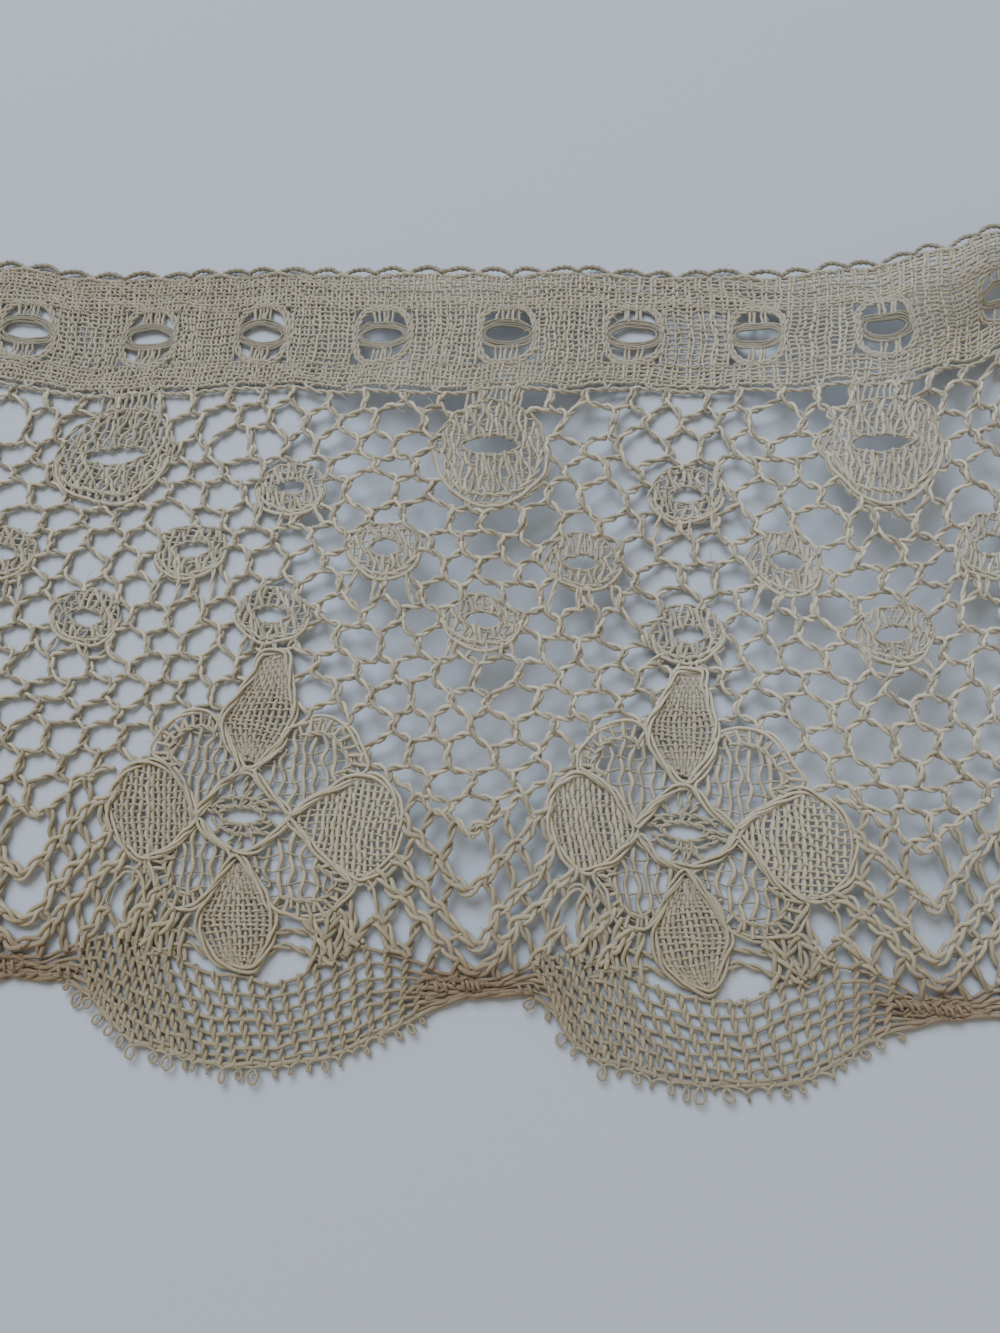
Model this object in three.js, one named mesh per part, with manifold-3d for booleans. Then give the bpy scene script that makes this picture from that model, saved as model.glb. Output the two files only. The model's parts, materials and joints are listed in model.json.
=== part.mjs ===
// A cut length of bobbin lace edging that lies on a flat surface in soft folds, in millimetres.
// +X runs along the edging, +Y runs from its scallops to its looped heading, and +Z is up.
// The origin is on the surface, under the middle of the edging.
// It is drawn flat first: s runs along it from the middle valley, t rises from the scallops' lowest line.

import * as THREE from 'three';
import { mergeVertices } from 'three/addons/utils/BufferGeometryUtils.js';
import Module from 'manifold-3d';

// Driving dimensions of the pattern
const REPEAT = 36;
const REPEATS = 4;
const HALF_LENGTH = (REPEAT * REPEATS) / 2;
const SHEET = 1.0;
const RAISED = 0.35;

// The scalloped edge of one repeat, a from the flower's line: steep on its left side, gentle on its right
const VALLEY_T = 6.7;
const SCALLOP = [
  [-13.8, 7.0], [-11.3, 5.5], [-10.1, 3.75], [-8.3, 2.3], [-6.3, 1.7], [-3.3, 1.2], [0.2, 0.9],
  [2.7, 1.0], [5.7, 1.6], [8.7, 2.6], [10.7, 3.8], [12.4, 4.85], [14.2, 5.6], [16.2, 6.2],
];
const PICOT_DEPTH = 0.6;

// The heading
const HEADING_T = 74.6;
const HEADING_LOOP = REPEAT / 11;
const HEADING_LOOP_RISE = 0.8;
const FOOTING_T = 61.2;
const EYELET = { t: 67.8, pitch: REPEAT / 3, halfWide: 2.4, halfTall: 1.05 };
const RAISED_BANDS = [{ fromT: 62.0, toT: 64.3 }, { fromT: 70.8, toT: 74.2 }];
const BAND_STEP = REPEAT / 9;

// Oval rings and spots of cloth stitch in the net, placed in repeats from a valley
const RING = { t: 55.1, halfWide: 5.3, halfTall: 5.1, holeHalfWide: 2.8, holeHalfTall: 0.95 };
const SPOT = { halfWide: 3.2, halfTall: 2.8 };
const SPOT_ROWS = [
  { t: 51.2, at: [0.5] },
  { t: 44.6, at: [0.25, 0.75] },
  { t: 38.4, at: [0, 0.5] },
];

// The net of hexagons, cut coarser than the thread net
const NET_PITCH = 5.6;
const NET_ROW = 3.95;
const NET_HOLE = 0.78;
const NET_FROM_T = 21.5;
const NET_MARGIN = 0.75;
const SMALLEST_HOLE = 4.2;

// Openings of the plaited ground beside each valley, v from the valley's line
const VALLEY_OPENINGS = [
  { v: 0, t: 17.9, halfWide: 1.6, halfTall: 1.5 },
  { v: 0, t: 13.4, halfWide: 1.7, halfTall: 1.7 },
  { v: 0, t: 9.5, halfWide: 1.2, halfTall: 0.9 },
  { v: 4.3, t: 19.0, halfWide: 1.3, halfTall: 1.3 },
  { v: 3.9, t: 15.2, halfWide: 1.2, halfTall: 1.3 },
  { v: 3.8, t: 11.2, halfWide: 1.2, halfTall: 1.2 },
  { v: 7.2, t: 13.4, halfWide: 1.1, halfTall: 1.2 },
];

// A flower's dense petals and its whole outline, a from the flower's line
const FLOWER_A = REPEAT / 2;
const PETALS = {
  west: [
    [-4.1, 20.6], [-6.1, 23.5], [-8.5, 24.7], [-10.7, 23.6], [-11.4, 21.6],
    [-11.0, 19.0], [-9.0, 16.7], [-6.6, 17.6], [-5.2, 18.9],
  ],
  east: [
    [3.9, 20.5], [5.0, 18.8], [6.7, 16.9], [9.3, 15.3], [11.9, 17.4],
    [12.5, 20.5], [11.4, 23.4], [9.2, 24.4], [6.4, 22.8],
  ],
  north: [
    [0.3, 24.4], [1.2, 25.4], [2.3, 27.4], [2.8, 29.6], [2.1, 32.9],
    [1.3, 34.0], [0.0, 34.0], [-1.1, 32.6], [-2.9, 30.0], [-2.8, 28.2], [-1.3, 25.9],
  ],
  south: [
    [-0.2, 17.1], [-1.8, 15.1], [-2.9, 12.6], [-2.6, 10.5], [-1.6, 8.8],
    [0.4, 7.8], [1.7, 8.6], [2.6, 10.3], [2.9, 12.3], [1.6, 15.0],
  ],
};
const FLOWER_OUTLINE = [
  [0.6, 34.2], [2.2, 32.6], [2.9, 29.6], [4.7, 29.0], [7.2, 28.4], [8.9, 26.8], [9.7, 24.6],
  [11.6, 23.6], [12.6, 20.6], [12.0, 17.4], [9.3, 15.1], [7.5, 12.4], [5.7, 11.9], [3.2, 11.9],
  [1.8, 8.4], [0.4, 7.6], [-1.8, 8.7], [-3.0, 12.0], [-5.3, 12.4], [-7.4, 15.2], [-9.1, 16.5],
  [-11.2, 19.0], [-11.5, 21.8], [-10.7, 23.8], [-8.8, 25.0], [-7.8, 28.4], [-5.8, 29.4], [-3.0, 30.0],
];
const FLOWER_CENTRE = { t: 20.5, halfWide: 3.2, halfTall: 2.3 };
const SIDE_OPENINGS = [
  { a: -4.1, t: 9.6, halfWide: 1.1, halfTall: 1.0 },
  { a: 4.4, t: 9.4, halfWide: 1.3, halfTall: 1.1 },
];

// How the edging lies: each height pulled along X, the lower part slanted
const MIDDLE_T = 39.9;
const PULL = [
  { t: 0, dx: -1.2 }, { t: 10, dx: -1.9 }, { t: 20, dx: -2.1 }, { t: 38, dx: -0.8 },
  { t: 55, dx: 0 }, { t: 68, dx: 1.8 }, { t: 76, dx: 2.1 },
];
const SLANT = { slope: 0.04, fullBelowT: 42, endsAtT: 57 };

// How far each place along it is drawn sideways, in its scallops and in its net
const DRAWN = [
  { s: -54, scallops: 0.2, net: 1.3 }, { s: -36, scallops: 0, net: 1.1 },
  { s: -18, scallops: -0.5, net: -0.4 }, { s: 0, scallops: 0.2, net: -0.4 },
  { s: 18, scallops: -0.1, net: -0.4 }, { s: 36, scallops: 1.4, net: 0 },
];
const SCALLOPS_BELOW_T = 20;
const NET_ABOVE_T = 32;

// How far it is drawn up, in its net and at its heading
const RISE = [
  { x: -54, net: -1.0, heading: 1.6 }, { x: -36, net: -1.1, heading: -0.5 },
  { x: -20, net: -0.4, heading: 0.2 },
  { x: -8, net: 0, heading: 0.1 }, { x: 12, net: -0.5, heading: 0 }, { x: 28, net: 0, heading: 0.1 },
  { x: 37, net: 0.2, heading: 0.7 }, { x: 44, net: 2.1, heading: 2.6 }, { x: 50, net: 4.0, heading: 5.0 },
  { x: 58, net: 5.0, heading: 6.5 },
];
const RISE_FROM_T = 26;
const RISE_NET_T = 38;
const RISE_NET_TO_T = 50;
const RISE_HEADING_T = 62;

// Soft swells where the edging stands off the surface, turned by their angle in degrees
const SWELLS = [
  { x: -2, y: 8, halfX: 13, halfY: 30, turn: 4, lift: 4.2 },
  { x: 35, y: 9, halfX: 12, halfY: 32, turn: -6, lift: 4.4 },
  { x: 47, y: 35, halfX: 4, halfY: 11, turn: -52, lift: 2.6 },
  { x: -61, y: 2, halfX: 10, halfY: 26, turn: 8, lift: 2.0 },
];
const SWELL_REACH = 1.55;

// The eye that the pattern is drawn from; what a swell lifts stays on its line of sight
const EYE = { x: 0.6, y: -35, height: 89.4 };
const LEVEL = 1e-3;

const wasm = await Module();
wasm.setup();

// A number between the rows of a table, eased so that it has no kinks at the rows.
function between(table, key, value, at) {
  const last = table.length - 1;
  if (at <= table[0][key]) return table[0][value];
  for (let i = 0; i < last; i += 1) {
    const low = table[i];
    const high = table[i + 1];
    if (at <= high[key]) {
      const part = THREE.MathUtils.smoothstep(at, low[key], high[key]);
      return low[value] + (high[value] - low[value]) * part;
    }
  }
  return table[last][value];
}

// How far the underside stands off the surface at a place.
function lift(x, y) {
  let height = 0;
  for (const swell of SWELLS) {
    const place = new THREE.Vector2(x - swell.x, y - swell.y);
    place.rotateAround(new THREE.Vector2(), THREE.MathUtils.degToRad(-swell.turn));
    const away = Math.hypot(place.x / swell.halfX, place.y / swell.halfY);
    if (away < SWELL_REACH) {
      height += swell.lift * (0.5 + 0.5 * Math.cos((Math.PI * away) / SWELL_REACH));
    }
  }
  return height;
}

// Where a point of the flat pattern comes to lie on the surface.
function lie([s, t]) {
  const smoothstep = THREE.MathUtils.smoothstep;
  const inNet = smoothstep(t, SCALLOPS_BELOW_T, NET_ABOVE_T);
  const drawn = between(DRAWN, 's', 'scallops', s) * (1 - inNet) + between(DRAWN, 's', 'net', s) * inNet;
  const x = s + between(PULL, 't', 'dx', t) + drawn;
  const slanted = 1 - smoothstep(t, SLANT.fullBelowT, SLANT.endsAtT);
  const atHeading = smoothstep(t, RISE_NET_TO_T, RISE_HEADING_T);
  const inBetween = smoothstep(t, RISE_FROM_T, RISE_NET_T) * (1 - atHeading);
  const risen = between(RISE, 'x', 'net', x) * inBetween + between(RISE, 'x', 'heading', x) * atHeading;
  const y = t - MIDDLE_T - SLANT.slope * x * slanted + risen;
  const nearer = lift(x, y) / EYE.height;
  return new THREE.Vector2(x + (EYE.x - x) * nearer, y + (EYE.y - y) * nearer);
}

function ellipse(s, t, halfWide, halfTall, sides) {
  const points = [];
  for (let i = 0; i < sides; i += 1) {
    const angle = ((i + 0.5) / sides) * 2 * Math.PI;
    points.push([s + halfWide * Math.cos(angle), t + halfTall * Math.sin(angle)]);
  }
  return points;
}

function shifted(points, ds) {
  return points.map(([s, t]) => [s + ds, t]);
}

function insideOutline([s, t], points) {
  let inside = false;
  points.forEach(([s1, t1], i) => {
    const [s2, t2] = points[(i + 1) % points.length];
    if (t1 > t !== t2 > t && s < s1 + ((t - t1) / (t2 - t1)) * (s2 - s1)) inside = !inside;
  });
  return inside;
}

function distanceToOutline([s, t], points) {
  const place = new THREE.Vector3(s, t, 0);
  const nearest = new THREE.Vector3();
  let least = Infinity;
  points.forEach(([s1, t1], i) => {
    const [s2, t2] = points[(i + 1) % points.length];
    const edge = new THREE.Line3(new THREE.Vector3(s1, t1, 0), new THREE.Vector3(s2, t2, 0));
    edge.closestPointToPoint(place, true, nearest);
    least = Math.min(least, nearest.distanceTo(place));
  });
  return least;
}

// Distance in one repeat, s folded to the nearest motif's line
function folded(s, line) {
  return s - line - REPEAT * Math.round((s - line) / REPEAT);
}

function clearOfOval(ds, dt, oval) {
  const reach = Math.hypot(ds / oval.halfWide, dt / oval.halfTall);
  return (reach - 1) * Math.min(oval.halfWide, oval.halfTall);
}

// How far a place in the net is from the nearest motif or border.
function clearance([s, t]) {
  let least = Math.min(HALF_LENGTH - Math.abs(s), FOOTING_T - t, t - NET_FROM_T);
  least = Math.min(least, clearOfOval(folded(s, 0), t - RING.t, RING));
  for (const row of SPOT_ROWS) {
    for (const part of row.at) {
      least = Math.min(least, clearOfOval(folded(s, part * REPEAT), t - row.t, SPOT));
    }
  }
  const flower = [folded(s, FLOWER_A), t];
  const toFlower = distanceToOutline(flower, FLOWER_OUTLINE);
  return Math.min(least, insideOutline(flower, FLOWER_OUTLINE) ? -toFlower : toFlower);
}

// A net hole is drawn in towards its middle wherever a motif comes close.
function netHole(middle, points) {
  const steps = 10;
  return points.map(([s, t]) => {
    for (let i = steps; i > 0; i -= 1) {
      const k = i / steps;
      const moved = [middle[0] + (s - middle[0]) * k, middle[1] + (t - middle[1]) * k];
      if (clearance(moved) > NET_MARGIN) return moved;
    }
    return middle;
  });
}

function areaOf(points) {
  return THREE.ShapeUtils.area(points.map(([s, t]) => new THREE.Vector2(s, t)));
}

function netHoles() {
  const holes = [];
  const hexagon = [[0, 2], [-1.5, 1], [-1.5, -1], [0, -2], [1.5, -1], [1.5, 1]];
  const rows = Math.ceil((FOOTING_T - NET_FROM_T) / NET_ROW);
  const columns = Math.ceil(HALF_LENGTH / NET_PITCH);
  for (let row = 0; row <= rows; row += 1) {
    for (let column = -columns; column <= columns; column += 1) {
      const middle = [(column + (row % 2) / 2) * NET_PITCH, NET_FROM_T + (row + 0.5) * NET_ROW];
      const cell = hexagon.map(([ds, dt]) => [
        middle[0] + (ds / 3) * NET_PITCH * NET_HOLE,
        middle[1] + (dt / 3) * NET_ROW * NET_HOLE,
      ]);
      if (clearance(middle) > NET_MARGIN) {
        const hole = netHole(middle, cell);
        if (areaOf(hole) > SMALLEST_HOLE) holes.push(hole);
      }
    }
  }
  return holes;
}

function eyeletHoles() {
  const holes = [];
  const count = Math.round(HALF_LENGTH / EYELET.pitch);
  for (let i = -count + 1; i < count; i += 1) {
    holes.push(ellipse(i * EYELET.pitch, EYELET.t, EYELET.halfWide, EYELET.halfTall, 8));
  }
  return holes;
}

// Lines of the valleys, where the rings are, without the two cut ends
function valleyLines() {
  const lines = [];
  for (let line = REPEAT - HALF_LENGTH; line < HALF_LENGTH; line += REPEAT) lines.push(line);
  return lines;
}

function flowerLines() {
  const lines = [];
  for (let line = FLOWER_A - HALF_LENGTH; line < HALF_LENGTH; line += REPEAT) lines.push(line);
  return lines;
}

function motifHoles() {
  const holes = [];
  for (const line of valleyLines()) {
    holes.push(ellipse(line, RING.t, RING.holeHalfWide, RING.holeHalfTall, 10));
  }
  for (const line of [-HALF_LENGTH, ...valleyLines(), HALF_LENGTH]) {
    for (const opening of VALLEY_OPENINGS) {
      const sides = opening.v === 0 ? [1] : [-1, 1];
      for (const side of sides) {
        const s = line + side * opening.v;
        if (Math.abs(s) + opening.halfWide < HALF_LENGTH - NET_MARGIN) {
          holes.push(ellipse(s, opening.t, opening.halfWide, opening.halfTall, 6));
        }
      }
    }
  }
  for (const line of flowerLines()) {
    holes.push(ellipse(line, FLOWER_CENTRE.t, FLOWER_CENTRE.halfWide, FLOWER_CENTRE.halfTall, 10));
    for (const opening of SIDE_OPENINGS) {
      holes.push(ellipse(line + opening.a, opening.t, opening.halfWide, opening.halfTall, 6));
    }
  }
  return holes;
}

// The scalloped edge from left to right, each scallop set with small picots
function scallopedEdge() {
  const points = [];
  for (const line of flowerLines()) {
    points.push([line - REPEAT / 2, VALLEY_T]);
    SCALLOP.forEach(([a, t], i) => {
      points.push([line + a, t]);
      if (i < SCALLOP.length - 1) {
        const [nextA, nextT] = SCALLOP[i + 1];
        const out = new THREE.Vector2(nextT - t, a - nextA).normalize().multiplyScalar(PICOT_DEPTH);
        points.push([line + (a + nextA) / 2 + out.x, (t + nextT) / 2 + out.y]);
      }
    });
  }
  points.push([HALF_LENGTH, VALLEY_T]);
  return points;
}

// The looped heading edge from right to left
function loopedEdge() {
  const points = [];
  const loops = Math.round((2 * HALF_LENGTH) / HEADING_LOOP);
  for (let i = 0; i < loops; i += 1) {
    const start = HALF_LENGTH - i * HEADING_LOOP;
    points.push([start, HEADING_T]);
    points.push([start - HEADING_LOOP * 0.3, HEADING_T + HEADING_LOOP_RISE]);
    points.push([start - HEADING_LOOP * 0.7, HEADING_T + HEADING_LOOP_RISE]);
  }
  points.push([-HALF_LENGTH, HEADING_T]);
  return points;
}

// Points up a cut end, close enough together to follow the pull
function cutEnd() {
  const steps = 12;
  const heights = [];
  for (let i = 1; i < steps; i += 1) heights.push(VALLEY_T + ((HEADING_T - VALLEY_T) * i) / steps);
  return heights;
}

function outerEdge() {
  return [
    ...scallopedEdge(),
    ...cutEnd().map((t) => [HALF_LENGTH, t]),
    ...loopedEdge(),
    ...cutEnd().reverse().map((t) => [-HALF_LENGTH, t]),
  ];
}

// A flat plate between two heights, its outline and holes already lying in place
function plate(outline, holes, from, to) {
  const shape = new THREE.Shape(outline.map(lie));
  shape.holes = holes.map((hole) => new THREE.Path(hole.map(lie)));
  const flat = new THREE.ExtrudeGeometry(shape, { depth: to - from, bevelEnabled: false, steps: 1 });
  flat.deleteAttribute('normal');
  flat.deleteAttribute('uv');
  const joined = mergeVertices(flat, 1e-4);
  joined.translate(0, 0, from);
  return new wasm.Manifold(new wasm.Mesh({
    numProp: 3,
    vertProperties: joined.attributes.position.array,
    triVerts: Uint32Array.from(joined.index.array),
  }));
}

// A closely worked band that runs the whole length, with points along both its sides
function bandOutline({ fromT, toT }) {
  const inset = 0.3;
  const reach = HALF_LENGTH - inset;
  const steps = Math.round((2 * reach) / BAND_STEP);
  const lower = [];
  for (let i = 0; i <= steps; i += 1) lower.push([-reach + (2 * reach * i) / steps, fromT]);
  const upper = lower.map(([s]) => [s, toT]).reverse();
  return [...lower, ...upper];
}

// The cloth-stitch motifs that stand a little proud of the net
function raisedMotifs() {
  const from = SHEET / 2;
  const to = SHEET + RAISED;
  const plates = RAISED_BANDS.map((band) => plate(bandOutline(band), [], from, to));
  for (const line of valleyLines()) {
    const hole = ellipse(line, RING.t, RING.holeHalfWide + 0.3, RING.holeHalfTall + 0.3, 10);
    plates.push(plate(ellipse(line, RING.t, RING.halfWide, RING.halfTall, 14), [hole], from, to));
  }
  for (const row of SPOT_ROWS) {
    for (const part of row.at) {
      for (let i = -REPEATS / 2; i <= REPEATS / 2; i += 1) {
        const s = (i + part) * REPEAT;
        if (Math.abs(s) + SPOT.halfWide < HALF_LENGTH) {
          plates.push(plate(ellipse(s, row.t, SPOT.halfWide, SPOT.halfTall, 10), [], from, to));
        }
      }
    }
  }
  for (const line of flowerLines()) {
    for (const petal of Object.values(PETALS)) plates.push(plate(shifted(petal, line), [], from, to));
  }
  return plates;
}

// The angle at the corner c of the triangle a, b, c, seen from above
function cornerAngle(position, a, b, c) {
  const toA = new THREE.Vector2(position.getX(a) - position.getX(c), position.getY(a) - position.getY(c));
  const toB = new THREE.Vector2(position.getX(b) - position.getX(c), position.getY(b) - position.getY(c));
  return Math.abs(Math.atan2(toA.cross(toB), toA.dot(toB)));
}

function isLevel(position, corners) {
  const heights = corners.map((corner) => position.getZ(corner));
  return Math.max(...heights) - Math.min(...heights) < LEVEL;
}

// Level faces get compact triangles in place of long thin ones, so that they can follow the folds.
function withCompactFaces(position, index) {
  const sides = new Map();
  const key = (from, to) => from * position.count + to;
  const cornersOf = (triangle) => Array.from(index.subarray(triangle * 3, triangle * 3 + 3));
  const enter = (triangle) => {
    const [a, b, c] = cornersOf(triangle);
    sides.set(key(a, b), { triangle, far: c });
    sides.set(key(b, c), { triangle, far: a });
    sides.set(key(c, a), { triangle, far: b });
  };
  const count = index.length / 3;
  const waiting = [];
  for (let triangle = 0; triangle < count; triangle += 1) {
    enter(triangle);
    const [a, b, c] = cornersOf(triangle);
    waiting.push([a, b], [b, c], [c, a]);
  }
  while (waiting.length > 0) {
    const [a, b] = waiting.pop();
    const here = sides.get(key(a, b));
    const there = sides.get(key(b, a));
    if (here && there && isLevel(position, [a, b, here.far, there.far])) {
      const c = here.far;
      const d = there.far;
      const facing = cornerAngle(position, a, b, c) + cornerAngle(position, a, b, d);
      if (facing > Math.PI + LEVEL && !sides.has(key(c, d)) && !sides.has(key(d, c))) {
        sides.delete(key(a, b));
        sides.delete(key(b, a));
        index.set([a, d, c], here.triangle * 3);
        index.set([d, b, c], there.triangle * 3);
        enter(here.triangle);
        enter(there.triangle);
        waiting.push([a, d], [d, b], [b, c], [c, a]);
      }
    }
  }
  return index;
}

// The joined solid as a three.js geometry, every point raised by the folds under it
function draped(solid) {
  const mesh = solid.getMesh();
  const position = new THREE.BufferAttribute(Float32Array.from(mesh.vertProperties), mesh.numProp);
  const index = withCompactFaces(position, Uint32Array.from(mesh.triVerts));
  for (let i = 0; i < position.count; i += 1) {
    position.setZ(i, position.getZ(i) + lift(position.getX(i), position.getY(i)));
  }
  const geometry = new THREE.BufferGeometry();
  geometry.setAttribute('position', position);
  geometry.setIndex(new THREE.BufferAttribute(index, 1));
  geometry.computeVertexNormals();
  return geometry;
}

function laceTrim() {
  const holes = [...netHoles(), ...eyeletHoles(), ...motifHoles()];
  let solid = plate(outerEdge(), holes, 0, SHEET);
  for (const motif of raisedMotifs()) solid = solid.add(motif);
  const ecru = new THREE.MeshStandardMaterial({ color: '#b8b096', roughness: 0.9, metalness: 0 });
  const mesh = new THREE.Mesh(draped(solid), ecru);
  mesh.name = 'lace_trim';
  return mesh;
}

const edging = new THREE.Group();
edging.add(laceTrim());

export default edging;
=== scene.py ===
"""A cut length of scalloped bobbin lace edging, each thread laid over the soft folds of its solid."""

import json
import math

import bpy
import numpy as np
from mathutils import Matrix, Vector, noise

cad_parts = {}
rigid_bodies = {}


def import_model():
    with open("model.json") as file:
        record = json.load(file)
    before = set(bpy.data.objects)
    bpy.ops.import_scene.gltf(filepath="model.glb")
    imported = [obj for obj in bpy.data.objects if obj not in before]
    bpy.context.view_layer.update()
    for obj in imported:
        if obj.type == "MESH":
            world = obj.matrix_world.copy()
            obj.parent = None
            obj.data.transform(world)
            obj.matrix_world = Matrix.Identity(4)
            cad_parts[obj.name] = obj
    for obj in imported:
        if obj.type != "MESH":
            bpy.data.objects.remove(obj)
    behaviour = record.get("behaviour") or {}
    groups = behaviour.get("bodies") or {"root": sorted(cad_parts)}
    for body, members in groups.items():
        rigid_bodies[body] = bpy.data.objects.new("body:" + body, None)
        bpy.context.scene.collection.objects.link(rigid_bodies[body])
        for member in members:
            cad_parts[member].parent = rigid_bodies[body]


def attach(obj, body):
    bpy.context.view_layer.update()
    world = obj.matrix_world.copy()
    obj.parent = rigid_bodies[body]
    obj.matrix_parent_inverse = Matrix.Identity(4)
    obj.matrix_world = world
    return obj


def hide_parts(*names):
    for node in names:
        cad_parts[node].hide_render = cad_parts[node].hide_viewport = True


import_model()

bl_info = {
    "name": "Bobbin lace edging",
    "version": (1, 0, 0),
    "blender": (4, 5, 0),
    "location": "3D View > Sidebar > Lace",
    "description": "Works a scalloped bobbin lace edging thread by thread and lays it on a surface",
    "category": "Add Mesh",
}

# The pattern is drawn flat in millimetres: s runs along the edging from its middle valley,
# t rises from the scallops' lowest line to the looped heading, and h is the height over the surface.
MM = 0.001
REPEAT = 36.0
REPEATS = 4
HALF_LENGTH = REPEAT * REPEATS / 2
SECTIONS_PER_REPEAT = 2
NODE = "lace_trim"
BODY = "root"

# Heights of the bands of the pattern
VALLEY_T = 6.7
FOOTING_T = 61.5
NARROW_BAND = (62.2, 64.4)
EYELET_T = 67.6
STRIP = (70.6, 74.3)
HEADING_T = 74.5

# The heading: threads of the narrow band and of the strip, its uprights, its loops and the ties below
BAND_ROWS = ((*NARROW_BAND, 6), (*STRIP, 10))
UPRIGHT_GAP = 0.45
LOOP_PITCH = REPEAT / 11
LOOP_RISE = 0.75
LOOP_SAG = 0.22
TIE_PITCH = REPEAT / 9
TIE_SPREAD = 0.5

# The eyelets: uprights tie one within TIES_WITHIN of its middle, and close columns begin at COLUMN_FROM
EYELET_PITCH = REPEAT / 3
EYELET = {"wide": 2.75, "tall": 1.45}
TIES_WITHIN = 1.25
COLUMN_FROM = 2.7
# Threads round the hole, from outside to inside of its edge, and pairs round the whole cell
EDGE_INSETS = (-0.1, 0.12, 0.34, 0.56)
CELL_OUTSETS = (-0.15, 0.15)
# The cell is an oval at 2 and squarer above it
CELL_POWER = 2.7

# Motifs, placed in repeats from a valley
RING = {"t": 55.1, "wide": 5.3, "tall": 5.1, "hole_t": 55.6, "hole_wide": 2.9, "hole_tall": 0.95}
SPOT = {"wide": 3.2, "tall": 2.8, "hole_wide": 1.5, "hole_tall": 0.9}
SPOT_ROWS = [
    {"t": 51.2, "at": (0.5,)},
    {"t": 44.6, "at": (0.25, 0.75)},
    {"t": 38.4, "at": (0.0, 0.5)},
]
# Where a spot's legs leave it: along from its middle and up from its lowest point
SPOT_LEGS = ((-2.3, 0.9), (-0.55, 0.3), (0.45, 0.3), (2.3, 0.9))
FLOWER_A = REPEAT / 2

# The flower's petals as outlines round its own line, a along and t up
# How much lighter or darker each dense petal's threads are made; the east petal's lightness is a painted
# highlight, as if it faced the light.
PETAL_LIGHTNESS = {"west": 0.1, "east": 0.8, "north": -0.1, "south": 0.2}
# Degrees by which the uprights of a petal lean, and how many uprights fan out in the other petals
PETAL_LEAN = {"west": 5, "east": -3}
FANNED_UPRIGHTS = 12
DENSE_PETALS = {
    "west": [
        (-4.1, 20.6), (-6.1, 23.5), (-8.5, 24.7), (-10.7, 23.6), (-11.4, 21.6),
        (-11.0, 19.0), (-9.0, 16.7), (-6.6, 17.6), (-5.2, 18.9),
    ],
    "east": [
        (3.9, 20.5), (5.0, 18.8), (6.7, 16.9), (9.3, 15.3), (11.9, 17.4),
        (12.5, 20.5), (11.4, 23.4), (9.2, 24.4), (6.4, 22.8),
    ],
    "north": [
        (0.0, 24.4), (1.1, 25.5), (2.1, 27.0), (2.8, 29.0), (2.4, 31.3), (1.9, 33.2), (1.5, 34.8),
        (-0.6, 34.8), (-1.1, 33.2), (-2.1, 31.3), (-3.1, 29.4), (-2.9, 27.7), (-1.5, 25.8),
    ],
    "south": [
        (-0.2, 17.3), (-1.8, 15.1), (-2.9, 12.6), (-2.6, 10.5), (-1.6, 8.8),
        (0.4, 7.8), (1.7, 8.6), (2.6, 10.3), (2.9, 12.3), (1.6, 15.0),
    ],
}
OPEN_PETALS = {
    "north_west": [
        (-8.8, 25.4), (-7.8, 28.4), (-5.8, 29.4), (-3.8, 29.2), (-2.4, 27.1), (-0.9, 25.1), (-0.5, 24.2),
        (-1.9, 23.0), (-3.4, 21.3), (-4.0, 20.7), (-5.0, 22.1), (-6.1, 23.6), (-7.8, 24.7),
    ],
    "north_east": [
        (2.5, 28.3), (4.7, 29.0), (7.2, 28.5), (8.8, 26.8), (9.6, 24.8), (6.7, 22.9), (5.0, 21.7),
        (3.9, 20.7), (2.5, 22.2), (0.8, 24.2), (1.6, 25.6), (2.4, 27.1),
    ],
    "south_west": [
        (-8.0, 16.7), (-7.2, 15.3), (-6.5, 13.6), (-5.3, 12.5), (-3.6, 12.7), (-2.4, 14.3), (-0.7, 16.8),
        (-1.0, 17.6), (-2.6, 18.5), (-3.8, 20.1), (-4.8, 19.1), (-6.0, 17.9),
    ],
    "south_east": [
        (0.3, 16.9), (1.3, 17.9), (2.9, 18.8), (3.9, 20.3), (5.0, 18.9), (6.7, 16.8), (8.6, 15.4),
        (8.5, 14.2), (7.4, 12.6), (5.7, 12.0), (3.9, 12.3), (2.8, 12.8), (1.6, 14.9),
    ],
}
FLOWER_EYE_T = 20.6
FLOWER_RIM = [
    (-4.1, 20.6), (-2.8, 22.2), (-1.4, 23.4), (0.2, 24.3), (1.7, 23.1), (3.0, 21.8), (3.9, 20.6),
    (3.0, 19.0), (1.6, 18.0), (0.0, 17.5), (-1.6, 17.9), (-3.1, 18.9),
]
FLOWER_OUTLINE = [
    (0.6, 34.8), (2.2, 32.6), (2.9, 29.6), (4.7, 29.0), (7.2, 28.4), (8.9, 26.8), (9.7, 24.6),
    (11.6, 23.6), (12.6, 20.6), (12.0, 17.4), (9.3, 15.1), (7.5, 12.4), (5.7, 11.9), (3.2, 11.9),
    (1.8, 8.4), (0.4, 7.6), (-1.8, 8.7), (-3.0, 12.0), (-5.3, 12.4), (-7.4, 15.2), (-9.1, 16.5),
    (-11.2, 19.0), (-11.5, 21.8), (-10.7, 23.8), (-8.8, 25.0), (-7.8, 28.4), (-5.8, 29.4), (-3.0, 30.0),
]

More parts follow.
